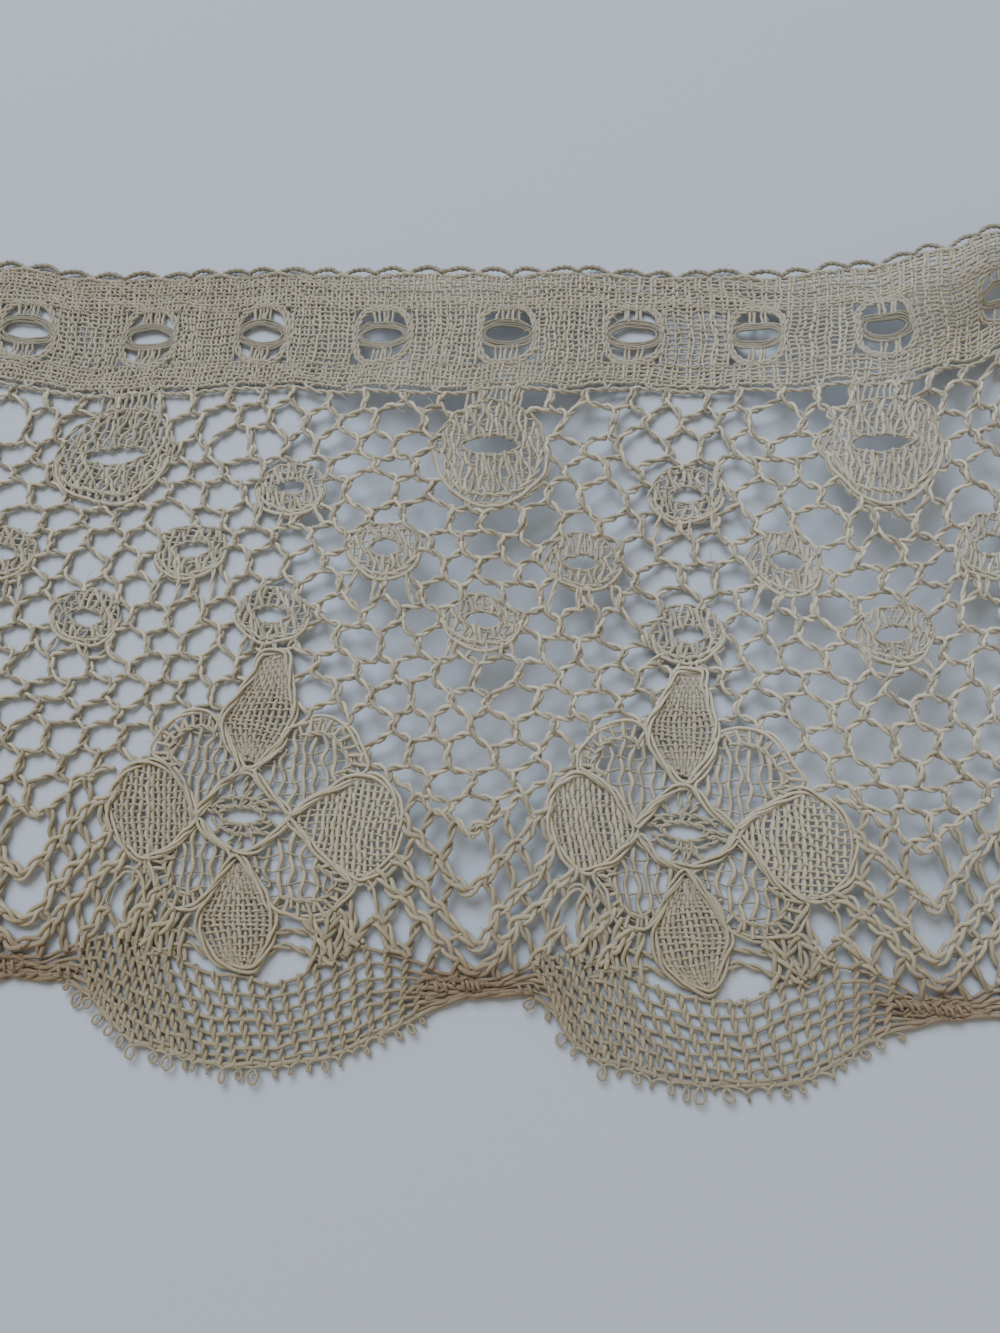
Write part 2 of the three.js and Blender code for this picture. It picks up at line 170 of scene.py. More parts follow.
# The scalloped edge and the inner side of its band, a from the flower's line
SCALLOP = [
    (-18.0, 6.7), (-13.8, 7.0), (-11.3, 5.5), (-10.1, 3.75), (-8.3, 2.3), (-6.3, 1.7), (-3.3, 1.2),
    (0.2, 0.9), (2.7, 1.0), (5.7, 1.6), (8.7, 2.6), (10.7, 3.8), (12.4, 4.85), (14.2, 5.6), (16.2, 6.2),
    (18.0, 6.7),
]
BAND_INNER = [
    (-18.0, 7.9), (-15.5, 8.4), (-13.2, 9.6), (-10.0, 10.3), (-5.0, 9.0), (-1.5, 7.5), (0.0, 7.2),
    (3.0, 7.0), (5.0, 7.9), (8.0, 9.3), (10.0, 10.0), (13.2, 9.6), (15.5, 8.4), (18.0, 7.9),
]
# Distance between picots and half their width
PICOT_PITCH = 1.2
PICOT_SIZE = 0.46
PICOT_STEP = 0.13
PICOTS_BETWEEN = (-13.9, 14.5)
# Where the band's long threads run, from the scalloped edge to its inner side, and its cross threads
BAND_THREADS = (0.02, 0.09, 0.22, 0.36, 0.5, 0.65, 0.82, 1.0)
CROSS_THREADS = np.concatenate([np.arange(-13.4, -6, 0.82), np.arange(-5.9, 15.2, 1.35)])
# How far the band's cross threads lean, from its inner side to its edge
BAND_LEAN = [(-14.0, 2.9), (-6.0, 2.6), (0.0, 1.6), (6.0, 0.6), (14.0, -1.0)]

# The plaits of the border meet on the valley's line at these heights, or would if the edge let them
PLAITS = [
    {"meets": 15.0, "rise": 1.06}, {"meets": 11.0, "rise": 1.1}, {"meets": 8.8, "rise": 0.97},
    {"meets": 3.8, "rise": 1.15}, {"meets": 0.7, "rise": 1.15}, {"meets": -2.6, "rise": 1.15},
]
PLAIT_ROUNDING = 0.9
PLAIT_REACH = 15.4
PLAIT_HALF_WIDTH = 0.38
PLAIT_TURN = 5.6
# Plaits run in small steps, one for each link
PLAIT_STEP = 0.2
BORDER_TO_T = 28.3
LINK_FROM = 1.3
LINK_PITCH = 1.5
LINK_LEAN = 1.0
# The thinner V that ends the net above the border
NET_FOOT = {"meets": 19.6, "rise": 0.75}
NET_FOOT_REACH = 6.4
# The arch that stands open under the west and the east petal
ARCH = [(6.9, 11.9), (7.9, 13.6), (8.8, 15.3), (9.7, 15.5), (10.6, 14.3), (11.0, 12.7), (11.4, 11.0)]
ARCH_OPENING = {"a": 9.4, "t": 13.5, "wide": 1.1, "tall": 1.5}
# Rows that close the ground between the south petal and the open ones
UNDER_ROWS = [
    [(2.3, 9.1), (3.4, 9.8), (4.9, 9.7), (6.4, 9.2), (8.2, 8.6)],
    [(2.7, 10.7), (4.2, 11.0), (6.0, 10.9), (7.4, 10.2), (8.6, 9.2)],
]
# The lower side of the open petals, where bowed pairs go down to the band; a is counted away from the line
RIGHT_FOOT = [(3.0, 11.9), (5.7, 11.9), (7.5, 12.4), (9.3, 15.1)]
LEFT_FOOT = [(3.0, 12.0), (5.3, 12.4), (7.4, 15.2), (9.1, 16.5)]
BOWED_TO = 8.7
BOWED_PITCH = 0.95

# The long threads that lie along a valley, and the knots on them
BUNDLE_THREADS = 10
BUNDLE_KNOTS = 4

# The hexagon net
NET_FROM_T = 19.05
NET_PITCH = 3.5
NET_ROW = 2.45
NET_BAR = 1.75
# Cells that stand open beside the rings, placed from a ring's line. The net round one spreads by the
# share WIDE_GROWTH, within about WIDE_REACH.
WIDE_CELLS = [
    (-9.9, 58.2), (9.9, 58.2), (-6.5, 49.0), (6.5, 49.0), (-10.6, 51.0), (10.6, 51.0), (13.2, 56.0),
]
WIDE_GROWTH = 0.42
WIDE_REACH = 2.3

# How the edging lies, as its solid does: MIDDLE_T comes to the origin, PULL moves each height along
# the edging, DRAWN tables move places along it within the scallops or the net, the part below
# SLANT_T is slanted, and RISE tables move the net or the heading up. The _T pairs are the heights
# between which one gives way to the other.
MIDDLE_T = 39.9
PULL = [(0, -1.2), (10, -1.9), (20, -2.1), (38, -0.8), (55, 0.0), (68, 1.8), (76, 2.1)]
SLANT_SLOPE = 0.04
SLANT_T = (42, 57)
DRAWN_SCALLOPS = [(-54, 0.2), (-36, 0.0), (-18, -0.5), (0, 0.2), (18, -0.1), (36, 1.4)]
DRAWN_NET = [(-54, 1.3), (-36, 1.1), (-18, -0.4), (0, -0.4), (18, -0.4), (36, 0.0)]
DRAWN_T = (20, 32)
RISE_NET = [
    (-54, -1.0), (-36, -1.1), (-20, -0.4), (-8, 0.0), (12, -0.5), (28, 0.0), (37, 0.2), (44, 2.1),
    (50, 4.0), (58, 5.0),
]
RISE_HEADING = [
    (-54, 1.6), (-36, -0.5), (-20, 0.2), (-8, 0.1), (12, 0.0), (28, 0.1), (37, 0.7), (44, 2.6),
    (50, 5.0), (58, 6.5),
]
RISE_NET_T = (26, 38)
RISE_HEADING_T = (50, 62)
SWELLS = [
    {"x": -2, "y": 8, "half_x": 13, "half_y": 30, "turn": 4, "lift": 4.2},
    {"x": 35, "y": 9, "half_x": 12, "half_y": 32, "turn": -6, "lift": 4.4},
    {"x": 47, "y": 35, "half_x": 4, "half_y": 11, "turn": -52, "lift": 2.6},
    {"x": -61, "y": 2, "half_x": 10, "half_y": 26, "turn": 8, "lift": 2.0},
]
SWELL_REACH = 1.55
# Where the pattern is drawn from; what a swell lifts stays on its line of sight
VIEWPOINT = (0.6, -35.0, 89.4)

# How each kind of pair is twisted: thickness in threads, distance apart and length of a turn
TWISTS = {
    "heading loops": (1.05, 0.24, 1.1),
    "heading line": (1.0, 0.22, 1.3),
    "footing": (0.9, 0.22, 2.2),
    "eyelet cell": (0.85, 0.22, 1.6),
    "hole edge": (0.7, 0.2, 2.2),
    "ring outline": (0.7, 0.22, 3.1),
    "ring ladder": (0.8, 0.22, 2.2),
    "ladder rung": (0.85, 0.2, 1.6),
    "spot leg": (0.85, 0.2, 2.8),
    "petal ladder": (0.8, 0.24, 1.8),
    "arch": (1.0, 0.42, 9.0),
    "eye oval": (0.85, 0.28, 1.6),
    "eye arc": (0.8, 0.26, 1.9),
    "eye bar": (0.75, 0.24, 1.6),
    "net foot": (1.0, 0.34, 2.6),
    "under row": (1.0, 0.34, 2.6),
    "bowed pair": (1.2, 0.4, 3.6),
    "valley knot": (0.9, 0.75, 0.7),
    "cross thread": (1.05, 0.3, 1.5),
}

# How the work strays from the drawn pattern: reach and amount in millimetres, and layer of the noise.
# The amounts of the picots and of the slubs are shares instead.
STRAYS = {
    "work": (7.0, 0.6, 0.0),
    "stitches": (2.2, 0.22, 5.0),
    "thread": (0.8, 0.07, 6.0),
    "net": (2.6, 0.72, 8.0),
    "net bars": (1.3, 0.3, 9.0),
    "border": (1.6, 0.3, 3.0),
    "rings": (0.7, 0.3, 14.0),
    "picots": (1.7, 1.0, 21.0),
    "slubs": (0.9, 0.22, 12.0),
}

# The old stain on a valley's edge: its height, and how far it reaches along the edging and up
STAIN_T = 7.5
STAIN_ALONG = 7.0
STAIN_UP = 2.6

# Heights of the threads over the solid's underside
CLOTH_H = 0.42
NET_H = 0.38
OUTLINE_H = 0.6

# The photograph's view: tilted from straight above, towards the scallops
VIEW_TILT = 18.22
VIEW_DISTANCE = 93.7
VIEW_MIDDLE = (0.6, -5.7, 0.4)
# Focal length and height of the frame in the photograph's pixels, and the sensor's height in millimetres
FOCAL_PIXELS = 1083.0
FRAME_PIXELS = 1333.0
SENSOR = 36.0

# Spacing of the points along a thread
SAMPLE = 0.34
SEED = 7
THREAD_TREE = "Threads along paths"
LINEN = "Aged linen thread"


class LaceSizes(bpy.types.PropertyGroup):
    """Sizes of the threads."""

    thread: bpy.props.FloatProperty(
        name="Thread", description="Thickness of a working thread", default=0.32 * MM, unit="LENGTH"
    )
    net_thread: bpy.props.FloatProperty(
        name="Net thread", description="Thickness of a thread in the net", default=0.35 * MM, unit="LENGTH"
    )
    outline_thread: bpy.props.FloatProperty(
        name="Outline thread",
        description="Thickness of the threads that outline petals and rings",
        default=0.29 * MM,
        unit="LENGTH",
    )
    cloth_gap: bpy.props.FloatProperty(
        name="Cloth stitch gap",
        description="Spacing of threads in cloth stitch",
        default=0.47 * MM,
        unit="LENGTH",
    )
    fibres: bpy.props.FloatProperty(
        name="Stray fibres",
        description="Loose fibre ends for each point of a thread's path",
        default=0.03,
        min=0,
    )


class LaceColours(bpy.types.PropertyGroup):
    """Colours of the old thread and of the surface it lies on."""

    aged: bpy.props.StringProperty(
        name="Aged thread", description="Yellowed ecru of the thread, as sRGB hex", default="#ACA48D"
    )
    pale: bpy.props.StringProperty(
        name="Pale thread",
        description="Greyer cream where it has yellowed less, as sRGB hex",
        default="#C6C3B6",
    )
    stain: bpy.props.StringProperty(
        name="Stain", description="Brown marks along the valley edge, as sRGB hex", default="#7F6148"
    )
    surface: bpy.props.StringProperty(
        name="Surface", description="Plain pale floor, as sRGB hex", default="#CDDAEC"
    )


# Tables and places

def eased(at, low, high):
    """0 below low, 1 above high, and smooth between them."""
    part = np.clip((np.asarray(at, float) - low) / (high - low), 0, 1)
    return part * part * (3 - 2 * part)


def between(table, at):
    """A number between the rows of a table of (place, value), eased at the rows."""
    at = np.asarray(at, float)
    value = np.full(at.shape, float(table[0][1]))
    for (low, before), (high, after) in zip(table, table[1:]):
        value += (after - before) * eased(at, low, high)
    return value


def lift(x, y):
    """How far the solid's underside stands off the surface at a place, in millimetres."""
    height = np.zeros(np.shape(x))
    for swell in SWELLS:
        turn = math.radians(-swell["turn"])
        dx, dy = x - swell["x"], y - swell["y"]
        along = (dx * math.cos(turn) - dy * math.sin(turn)) / swell["half_x"]
        across = (dx * math.sin(turn) + dy * math.cos(turn)) / swell["half_y"]
        away = np.minimum(np.hypot(along, across), SWELL_REACH)
        height += swell["lift"] * (0.5 + 0.5 * np.cos(np.pi * away / SWELL_REACH))
    return height


def wavered(points, kind):
    """Smooth unevenness over the pattern: how far each point strays in s, t and h."""
    reach, amount, layer = STRAYS[kind]
    flat = points[:, :2] / reach
    strays = [[noise.noise((s, t, layer + apart)) for apart in (0.0, 31.7, 63.4)] for s, t in flat]
    return np.array(strays).reshape(-1, 3) * amount


def lie(points):
    """Flat pattern points in millimetres, laid over the folds, in metres."""
    points = points + (wavered(points, "work") + wavered(points, "stitches")) * (1, 1, 0)
    points += wavered(points, "thread") * (1, 1, 0.3)
    s, t, h = points.T
    in_net = eased(t, *DRAWN_T)
    x = s + between(PULL, t) + between(DRAWN_SCALLOPS, s) * (1 - in_net) + between(DRAWN_NET, s) * in_net
    at_heading = eased(t, *RISE_HEADING_T)
    in_between = eased(t, *RISE_NET_T) * (1 - at_heading)
    y = t - MIDDLE_T - SLANT_SLOPE * x * (1 - eased(t, *SLANT_T))
    y += between(RISE_NET, x) * in_between + between(RISE_HEADING, x) * at_heading
    nearer = lift(x, y) / VIEWPOINT[2]
    x, y = x + (VIEWPOINT[0] - x) * nearer, y + (VIEWPOINT[1] - y) * nearer
    return np.stack([x, y, h + lift(x, y)], axis=1) * MM


# Paths

class Strand:
    """One length of thread in the flat pattern: its radius in millimetres, its own shade and its sides.

    A raised strand lies on the lace, as an outline does, and isn't part of its flat ground.
    """

    def __init__(self, points, radius, closed=False, shade=0.5, sides=5, raised=False):
        self.points = np.asarray(points, float)
        self.radius = radius
        self.closed = closed
        self.shade = shade
        self.sides = sides
        self.raised = raised

    def part(self, chosen):
        """An open stretch of the same thread."""
        return Strand(self.points[chosen], self.radius, False, self.shade, self.sides, self.raised)


def lifted(points, h):
    """Points of s and t given one height."""
    points = np.asarray(points, float)
    return np.column_stack([points, np.full(len(points), float(h))])


def distances(path):
    """How far along the path each of its points is."""
    return np.concatenate([[0], np.cumsum(np.linalg.norm(np.diff(path, axis=0), axis=1))])


def resampled(points, step, closed=False):
    """The path with its points a step apart."""
    points = np.asarray(points, float)
    if closed:
        points = np.vstack([points, points[:1]])
    length = distances(points)
    count = max(2, int(math.ceil(length[-1] / step)) + 1)
    at = np.linspace(0, length[-1], count)
    even = np.column_stack([np.interp(at, length, column) for column in points.T])
    return even[:-1] if closed else even


def curved(points, step=SAMPLE, closed=False):
    """A smooth path through the points."""
    points = np.asarray(points, float)
    if closed:
        before, after = points[-1:], points[:2]
    else:
        before, after = 2 * points[:1] - points[1:2], 2 * points[-1:] - points[-2:-1]
    guide = np.vstack([before, points, after])
    part = np.linspace(0, 1, 8, endpoint=False)[:, None]
    dense = []
    for p0, p1, p2, p3 in zip(guide, guide[1:], guide[2:], guide[3:]):
        bend = 2 * p0 - 5 * p1 + 4 * p2 - p3
        turn = 3 * p1 - p0 - 3 * p2 + p3
        dense.append(0.5 * (2 * p1 + (p2 - p0) * part + bend * part**2 + turn * part**3))
    dense = np.vstack(dense)
    if not closed:
        dense = np.vstack([dense, points[-1:]])
    return resampled(dense, step, closed)


def sideways(path, closed=False):
    """The level direction across the path at each of its points."""
    if closed:
        ahead = np.roll(path, -1, axis=0) - np.roll(path, 1, axis=0)
    else:
        ahead = np.gradient(path, axis=0)
    across = np.column_stack([-ahead[:, 1], ahead[:, 0]])
    return across / np.maximum(np.linalg.norm(across, axis=1, keepdims=True), 1e-9)


def twisted(path, radius, apart, pitch, plies=2, start=0.0, closed=False, shade=0.5):
    """Threads twisted round one path, apart being twice the distance from it."""
    path = np.asarray(path, float)
    along = distances(path)
    if closed:
        around = along[-1] + np.linalg.norm(path[0] - path[-1])
        pitch = around / max(1, round(around / pitch))
    across = sideways(path, closed)
    strands = []
    for ply in range(plies):
        angle = 2 * np.pi * (along / pitch + ply / plies) + start
        offset = np.column_stack([across * np.cos(angle)[:, None], np.sin(angle)]) * apart / 2
        strands.append(Strand(path + offset, radius, closed, shade))
    return strands


def pair(kind, path, radius, **rest):
    """Threads twisted in one of the lace's own ways, from the radius of a single one."""
    thick, apart, pitch = TWISTS[kind]
    return twisted(path, radius * thick, apart, pitch, **rest)


def ellipse(s, t, wide, tall, step=SAMPLE, start=0.0, end=360.0):
    """An oval, or the part of it between two angles in degrees, anticlockwise."""
    whole = end - start >= 360
    count = max(6, int(math.radians(end - start) * (wide + tall) / 2 / step))
    angle = np.radians(np.linspace(start, end, count, endpoint=not whole))
    return np.column_stack([s + wide * np.cos(angle), t + tall * np.sin(angle)])


def clipped(strand, keep, least=3):
    """The stretches of a strand where keep is true for at least so many points."""
    if strand.closed and keep.all():
        return [strand]
    edges = np.flatnonzero(np.diff(np.concatenate([[0], keep.astype(int), [0]])))
    return [strand.part(slice(a, b)) for a, b in zip(edges[::2], edges[1::2]) if b - a >= least]


def over_under(count, first=0):
    """1 and -1 by turns, for the crossings of one thread."""
    return np.where((np.arange(count) + first) % 2 == 0, 1.0, -1.0)


# Regions of the pattern

def from_outline(points, outline):
    """Distance of each point from a closed outline, negative inside it."""
    a = np.asarray(outline, float)
    b = np.roll(a, -1, axis=0)
    p = points[:, None, :2]
    edge = b - a
    part = np.clip(((p - a) * edge).sum(2) / (edge**2).sum(1), 0, 1)
    distance = np.linalg.norm(p - a - edge * part[..., None], axis=2).min(1)
    crosses = (a[:, 1] > p[..., 1]) != (b[:, 1] > p[..., 1])
    run = np.where(edge[:, 1] == 0, 1, edge[:, 1])
    left_of = p[..., 0] < a[:, 0] + (p[..., 1] - a[:, 1]) / run * edge[:, 0]
    inside = (crosses & left_of).sum(1) % 2 == 1
    return np.where(inside, -distance, distance)


def folded(s, line):
    """Distance along the edging from the nearest repeat of a line."""
    return (s - line + REPEAT / 2) % REPEAT - REPEAT / 2


def from_oval(ds, dt, wide, tall):
    """About how far a place is from an oval, negative inside it."""
    return (np.hypot(ds / wide, dt / tall) - 1) * min(wide, tall)


def from_motifs(points):
    """How far each point is from the nearest ring, spot or flower, negative inside one."""
    s, t = points[:, 0], points[:, 1]
    least = from_oval(folded(s, 0), t - RING["t"], RING["wide"], RING["tall"])
    for row in SPOT_ROWS:
        for part in row["at"]:
            oval = from_oval(folded(s, part * REPEAT), t - row["t"], SPOT["wide"], SPOT["tall"])
            least = np.minimum(least, oval)
    flower = np.column_stack([folded(s, FLOWER_A), t])
    return np.minimum(least, from_outline(flower, FLOWER_OUTLINE))


def between_straight(table, at):
    """A number between the rows of a table of (place, value), on a straight line."""
    places, values = zip(*table)
    return np.interp(at, places, values)


def band_inner(a):
    """Height of the scalloped band's inner side, a from the flower's line."""
    return between_straight(BAND_INNER, a)


def band_outer(a):
    """Height of the scalloped edge, a from the flower's line."""
    return between_straight(SCALLOP, a)


def lines_at(part):
    """Places of a motif along the whole edging, part of a repeat from each valley."""
    lines = [(i + part) * REPEAT for i in range(-REPEATS // 2, REPEATS // 2 + 1)]
    return [line for line in lines if abs(line) <= HALF_LENGTH + 0.01]


# Cloth stitch and half stitch

def chords(contours, across):
    """Where the line at across on the first axis runs inside the contours, as pairs on the second axis."""
    meets = []
    for contour in contours:
        after = np.roll(contour, -1, axis=0)
        cut = (contour[:, 0] > across) != (after[:, 0] > across)
        a, b = contour[cut], after[cut]
        meets.extend(a[:, 1] + (across - a[:, 0]) / (b[:, 0] - a[:, 0]) * (b[:, 1] - a[:, 1]))
    meets.sort()
    return list(zip(meets[::2], meets[1::2]))


def crossing_threads(contours, gap, other_gap, radius, rng, flip, overrun=0.12, waver=0.0):
    """Threads along the second axis of the contours, over and under the other set."""
    strands = []
    everything = np.vstack(contours)
    low, high = everything.min(0), everything.max(0)
    count = max(1, int((high[0] - low[0]) / gap))
    for i in range(count):
        place = low[0] + (i + 0.5) * (high[0] - low[0]) / count + rng.normal(0, gap * 0.07)
        for start, end in chords(contours, place):
            if end - start > other_gap * 0.8:
                first, last = math.ceil(start / other_gap), math.floor(end / other_gap)
                crossings = np.arange(first, last + 1) * other_gap
                levels = np.array([start - overrun, *crossings, end + overrun])
                over = over_under(len(levels), first + i + flip)
                over[[0, -1]] = 0
                sway = waver * np.sin(levels * 2.1 + i * 1.7)
                path = np.column_stack([place + sway, levels, CLOTH_H + over * radius * 0.8])
                if other_gap > 0.8:
                    path = curved(path, 0.36)
                strands.append(worked_thread(path, radius, rng))
    return strands


def worked_thread(path, radius, rng):
    """A thread of the cloth, a little thicker or finer and darker or lighter than the next."""
    return Strand(path, radius * rng.uniform(0.85, 1.15), False, rng.uniform(0, 1), 4)


def turned(points, middle, degrees):
    """Points turned round a middle in the plane."""
    turn = math.radians(degrees)
    away = points[:, :2] - middle
    matrix = np.array([[math.cos(turn), math.sin(turn)], [-math.sin(turn), math.cos(turn)]])
    moved = points.copy()
    moved[:, :2] = away @ matrix + middle
    return moved


def woven(
    contours, sizes, rng, lean=0.0, gap=None, weft_gap=None, bold=1.2, fine=0.68, waver=0.04, filled=1.0
):
    """Cloth stitch inside the contours: bold upright threads that lean by some degrees, and finer rows.

    Uprights may fill only a part of the way out, so that bare rows make a ladder round them.
    """
    gap = gap or sizes.cloth_gap / MM
    weft_gap = weft_gap or gap * 1.08
    radius = sizes.thread / MM / 2
    middle = np.vstack(contours).mean(0)[:2]
    straight = [turned(np.asarray(c, float), middle, -lean) for c in contours]
    within = [(c - middle) * filled + middle for c in straight]
    strands = crossing_threads(within, gap, weft_gap, radius * bold, rng, 0, waver=waver)
    swapped = [c[:, ::-1] for c in straight]
    wefts = crossing_threads(swapped, weft_gap, gap, radius * fine, rng, 1, waver=waver)
    # The uprights are painted lighter and the rows darker: a painted highlight on the threads that lie on
    # top and painted shade on those beneath them.
    for strand in strands:
        strand.shade += 0.6
    for strand in wefts:
        strand.points[:, :2] = strand.points[:, 1::-1]
        strand.shade -= 0.5
    for strand in strands + wefts:
        strand.points = turned(strand.points, middle, lean)
    return strands + wefts


def fanned(outline, sizes, rng, count):
    """Cloth stitch of so many upright threads that spread and draw together with the petal's width."""
    outline = curved(outline, 0.3, closed=True)
    gap = sizes.cloth_gap / MM
    radius = sizes.thread / MM / 2
    low, high = outline[:, 1].min(), outline[:, 1].max()
    levels = np.arange(low + 0.25, high - 0.2, gap)
    sides = []
    for level in levels:
        spans = chords([outline[:, ::-1]], level)
        sides.append(max(spans, key=lambda span: span[1] - span[0]))
    sides = np.array(sides)
    strands = []
    for i in range(count):
        part = (i + 0.5) / count
        place = sides[:, 0] + (sides[:, 1] - sides[:, 0]) * part
        over = over_under(len(levels), i)
        path = np.column_stack([place, levels, CLOTH_H + over * radius * 0.8])
        keep = (sides[:, 1] - sides[:, 0]) / count > (0.2 if i % 3 == 1 else 0.09)
        upright = Strand(path, radius * rng.uniform(1.1, 1.3), False, rng.uniform(0, 1), 4)
        strands += clipped(upright, keep)
    for j, level in enumerate(levels):
        left, right = sides[j]
        if right - left > 0.8:
            part = np.concatenate([[0], (np.arange(count) + 0.5) / count, [1]])
            over = over_under(len(part), j)
            over[[0, -1]] = 0
            path = np.column_stack([
                left + (right - left) * part,
                level + 0.12 * np.sin(part * 3 + j),
                CLOTH_H + over * radius * 0.8,
            ])
            strands.append(Strand(path, radius * 0.75, False, rng.uniform(0, 1), 4))
    return strands


def half_stitch(outline, sizes, rng, lean=0.0):
    """An open petal: wavering upright threads with thin rows far apart between them."""
    outline = curved(outline, 0.3, closed=True)
    return woven(
        [outline], sizes, rng, lean, gap=0.8, weft_gap=1.15, bold=1.25, fine=0.6, waver=0.2, filled=0.84
    )


def outer_ladder(outline, middle, sizes, rng):
    """A thin line inside the far side of an open petal, and the short bars that tie it to the outline."""
    radius = sizes.thread / MM / 2
    centre = outline.mean(0)
    outward = centre - middle
    far = (outline - centre) @ outward / np.linalg.norm(outward)
    nearest = int(np.argmin(far))
    outline, far = np.roll(outline, -nearest, axis=0), np.roll(far, -nearest)
    edge = outline[far > 0.6]
    inner = centre + (edge - centre) * 0.66
    strands = pair("petal ladder", lifted(inner, OUTLINE_H), radius, shade=0.8)
    for start, end in zip(inner[1::3], edge[1::3]):
        bar = resampled([start, end], 0.3)
        strands.append(Strand(lifted(bar, OUTLINE_H), radius, False, rng.uniform(0.6, 1.6)))
    return raised(strands)


def gimp(path, sizes, rng):
    """The outline: threads that lie side by side along a closed path and hardly twist."""
    radius = sizes.outline_thread / MM / 2
    start, shade = rng.uniform(0, 6), rng.uniform(1.1, 1.8)
    path = lifted(path, OUTLINE_H)
    return raised(twisted(path, radius, radius * 3.1, 8.0, plies=3, start=start, closed=True, shade=shade))


def raised(strands):
    """The same strands, marked as lying on the lace."""
    for strand in strands:
        strand.raised = True
    return strands


# Geometry Nodes

def set_inputs(tree, node, inputs):
    """Gives each named input its value, or links it to the socket that feeds it."""
    for name, value in inputs.items():
        if isinstance(value, bpy.types.NodeSocket):
            tree.links.new(value, node.inputs[name])
        else:
            node.inputs[name].default_value = value


def add_node(tree, kind, settings=None, inputs=None):
    """Adds one node with its settings and its inputs."""
    node = tree.nodes.new(kind)
    for name, value in (settings or {}).items():
        setattr(node, name, value)
    set_inputs(tree, node, inputs or {})
    return node


def thread_tree():
    """Sweeps a round thread along every path, as thick as the path's own radius says."""
    tree = bpy.data.node_groups.new(THREAD_TREE, "GeometryNodeTree")
    for name, kind in (
        ("Paths", "NodeSocketGeometry"), ("Sides", "NodeSocketInt"), ("Material", "NodeSocketMaterial"),
    ):
        tree.interface.new_socket(name=name, in_out="INPUT", socket_type=kind)
    tree.interface.new_socket(name="Geometry", in_out="OUTPUT", socket_type="NodeSocketGeometry")
    given = add_node(tree, "NodeGroupInput").outputs
    paths = add_node(tree, "GeometryNodeMeshToCurve", inputs={"Mesh": given["Paths"]})
    section = add_node(
        tree, "GeometryNodeCurvePrimitiveCircle", inputs={"Resolution": given["Sides"], "Radius": 1.0}
    )
    radius = add_node(
        tree, "GeometryNodeInputNamedAttribute", {"data_type": "FLOAT"}, {"Name": "thread_radius"}
    )
    swept = add_node(tree, "GeometryNodeCurveToMesh", inputs={
        "Curve": paths.outputs[0],
        "Profile Curve": section.outputs[0],
        "Scale": radius.outputs[0],
        "Fill Caps": True,
    })
    smooth = add_node(tree, "GeometryNodeSetShadeSmooth", inputs={"Geometry": swept.outputs[0]})
    real = add_node(tree, "GeometryNodeRealizeInstances", inputs={"Geometry": smooth.outputs[0]})
    painted = add_node(
        tree, "GeometryNodeSetMaterial", inputs={"Geometry": real.outputs[0], "Material": given["Material"]}
    )
    add_node(tree, "NodeGroupOutput", inputs={0: painted.outputs[0]})
    return tree


def through_tree(draft, tree, values):
    """Runs a mesh through a tree and keeps the result as a plain mesh in the same object."""
    modifier = draft.modifiers.new("Threads", "NODES")
    modifier.node_group = tree
    names = {item.name: item.identifier for item in tree.interface.items_tree if item.in_out == "INPUT"}
    for name, value in values.items():
        modifier[names[name]] = value
    graph = bpy.context.evaluated_depsgraph_get()
    plain = bpy.data.meshes.new_from_object(
        draft.evaluated_get(graph), preserve_all_data_layers=True, depsgraph=graph
    )
    draft.modifiers.remove(modifier)
    draft.data = plain


def stain_at(points):
    """How strongly the valley edge is stained at each point of the pattern."""
    along = folded(points[:, 0], 0) / STAIN_ALONG
    return np.exp(-along**2) * np.exp(-((points[:, 1] - STAIN_T) / STAIN_UP) ** 2)


def section_of(s):
    """Number of the half repeat that a place along the edging is in."""
    width = REPEAT / SECTIONS_PER_REPEAT
    last = REPEATS * SECTIONS_PER_REPEAT - 1
    return int(min(last, max(0, (s + HALF_LENGTH) // width)))


def split_by_section(strand):
    """A long strand cut at the sections' borders, so that each section holds its own stretch."""
    width = REPEAT / SECTIONS_PER_REPEAT
    points = strand.points
    if strand.closed or np.ptp(points[:, 0]) < width * 0.75:
        return [strand]
    numbers = np.array([section_of(s) for s in points[:, 0]])
    pieces, start = [], 0
    for i in range(1, len(points) + 1):
        if i == len(points) or numbers[i] != numbers[start]:
            if min(i + 1, len(points)) - start > 1:
                pieces.append(strand.part(slice(start, i + 1)))
            start = i
    return pieces


def draft_object(name, points, edges, attributes, material):
    """A mesh of loose edges with its numbers for each point."""
    mesh = bpy.data.meshes.new(name)
    mesh.vertices.add(len(points))
    mesh.vertices.foreach_set("co", points.astype(np.float32).ravel())
    mesh.edges.add(len(edges))
    mesh.edges.foreach_set("vertices", edges.astype(np.int32).ravel())
    for label, values in attributes.items():
        attribute = mesh.attributes.new(label, "FLOAT", "POINT")
        attribute.data.foreach_set("value", np.asarray(values, np.float32))
    mesh.materials.append(material)
    draft = bpy.data.objects.new(name, mesh)
    bpy.context.scene.collection.objects.link(draft)
    return draft


def within_ends(strand):
    """A strand trimmed to the cut ends of the edging."""
    inside = np.abs(strand.points[:, 0]) <= HALF_LENGTH + 1e-6
    if inside.all():
        return [strand]
    return clipped(strand, inside, least=2)


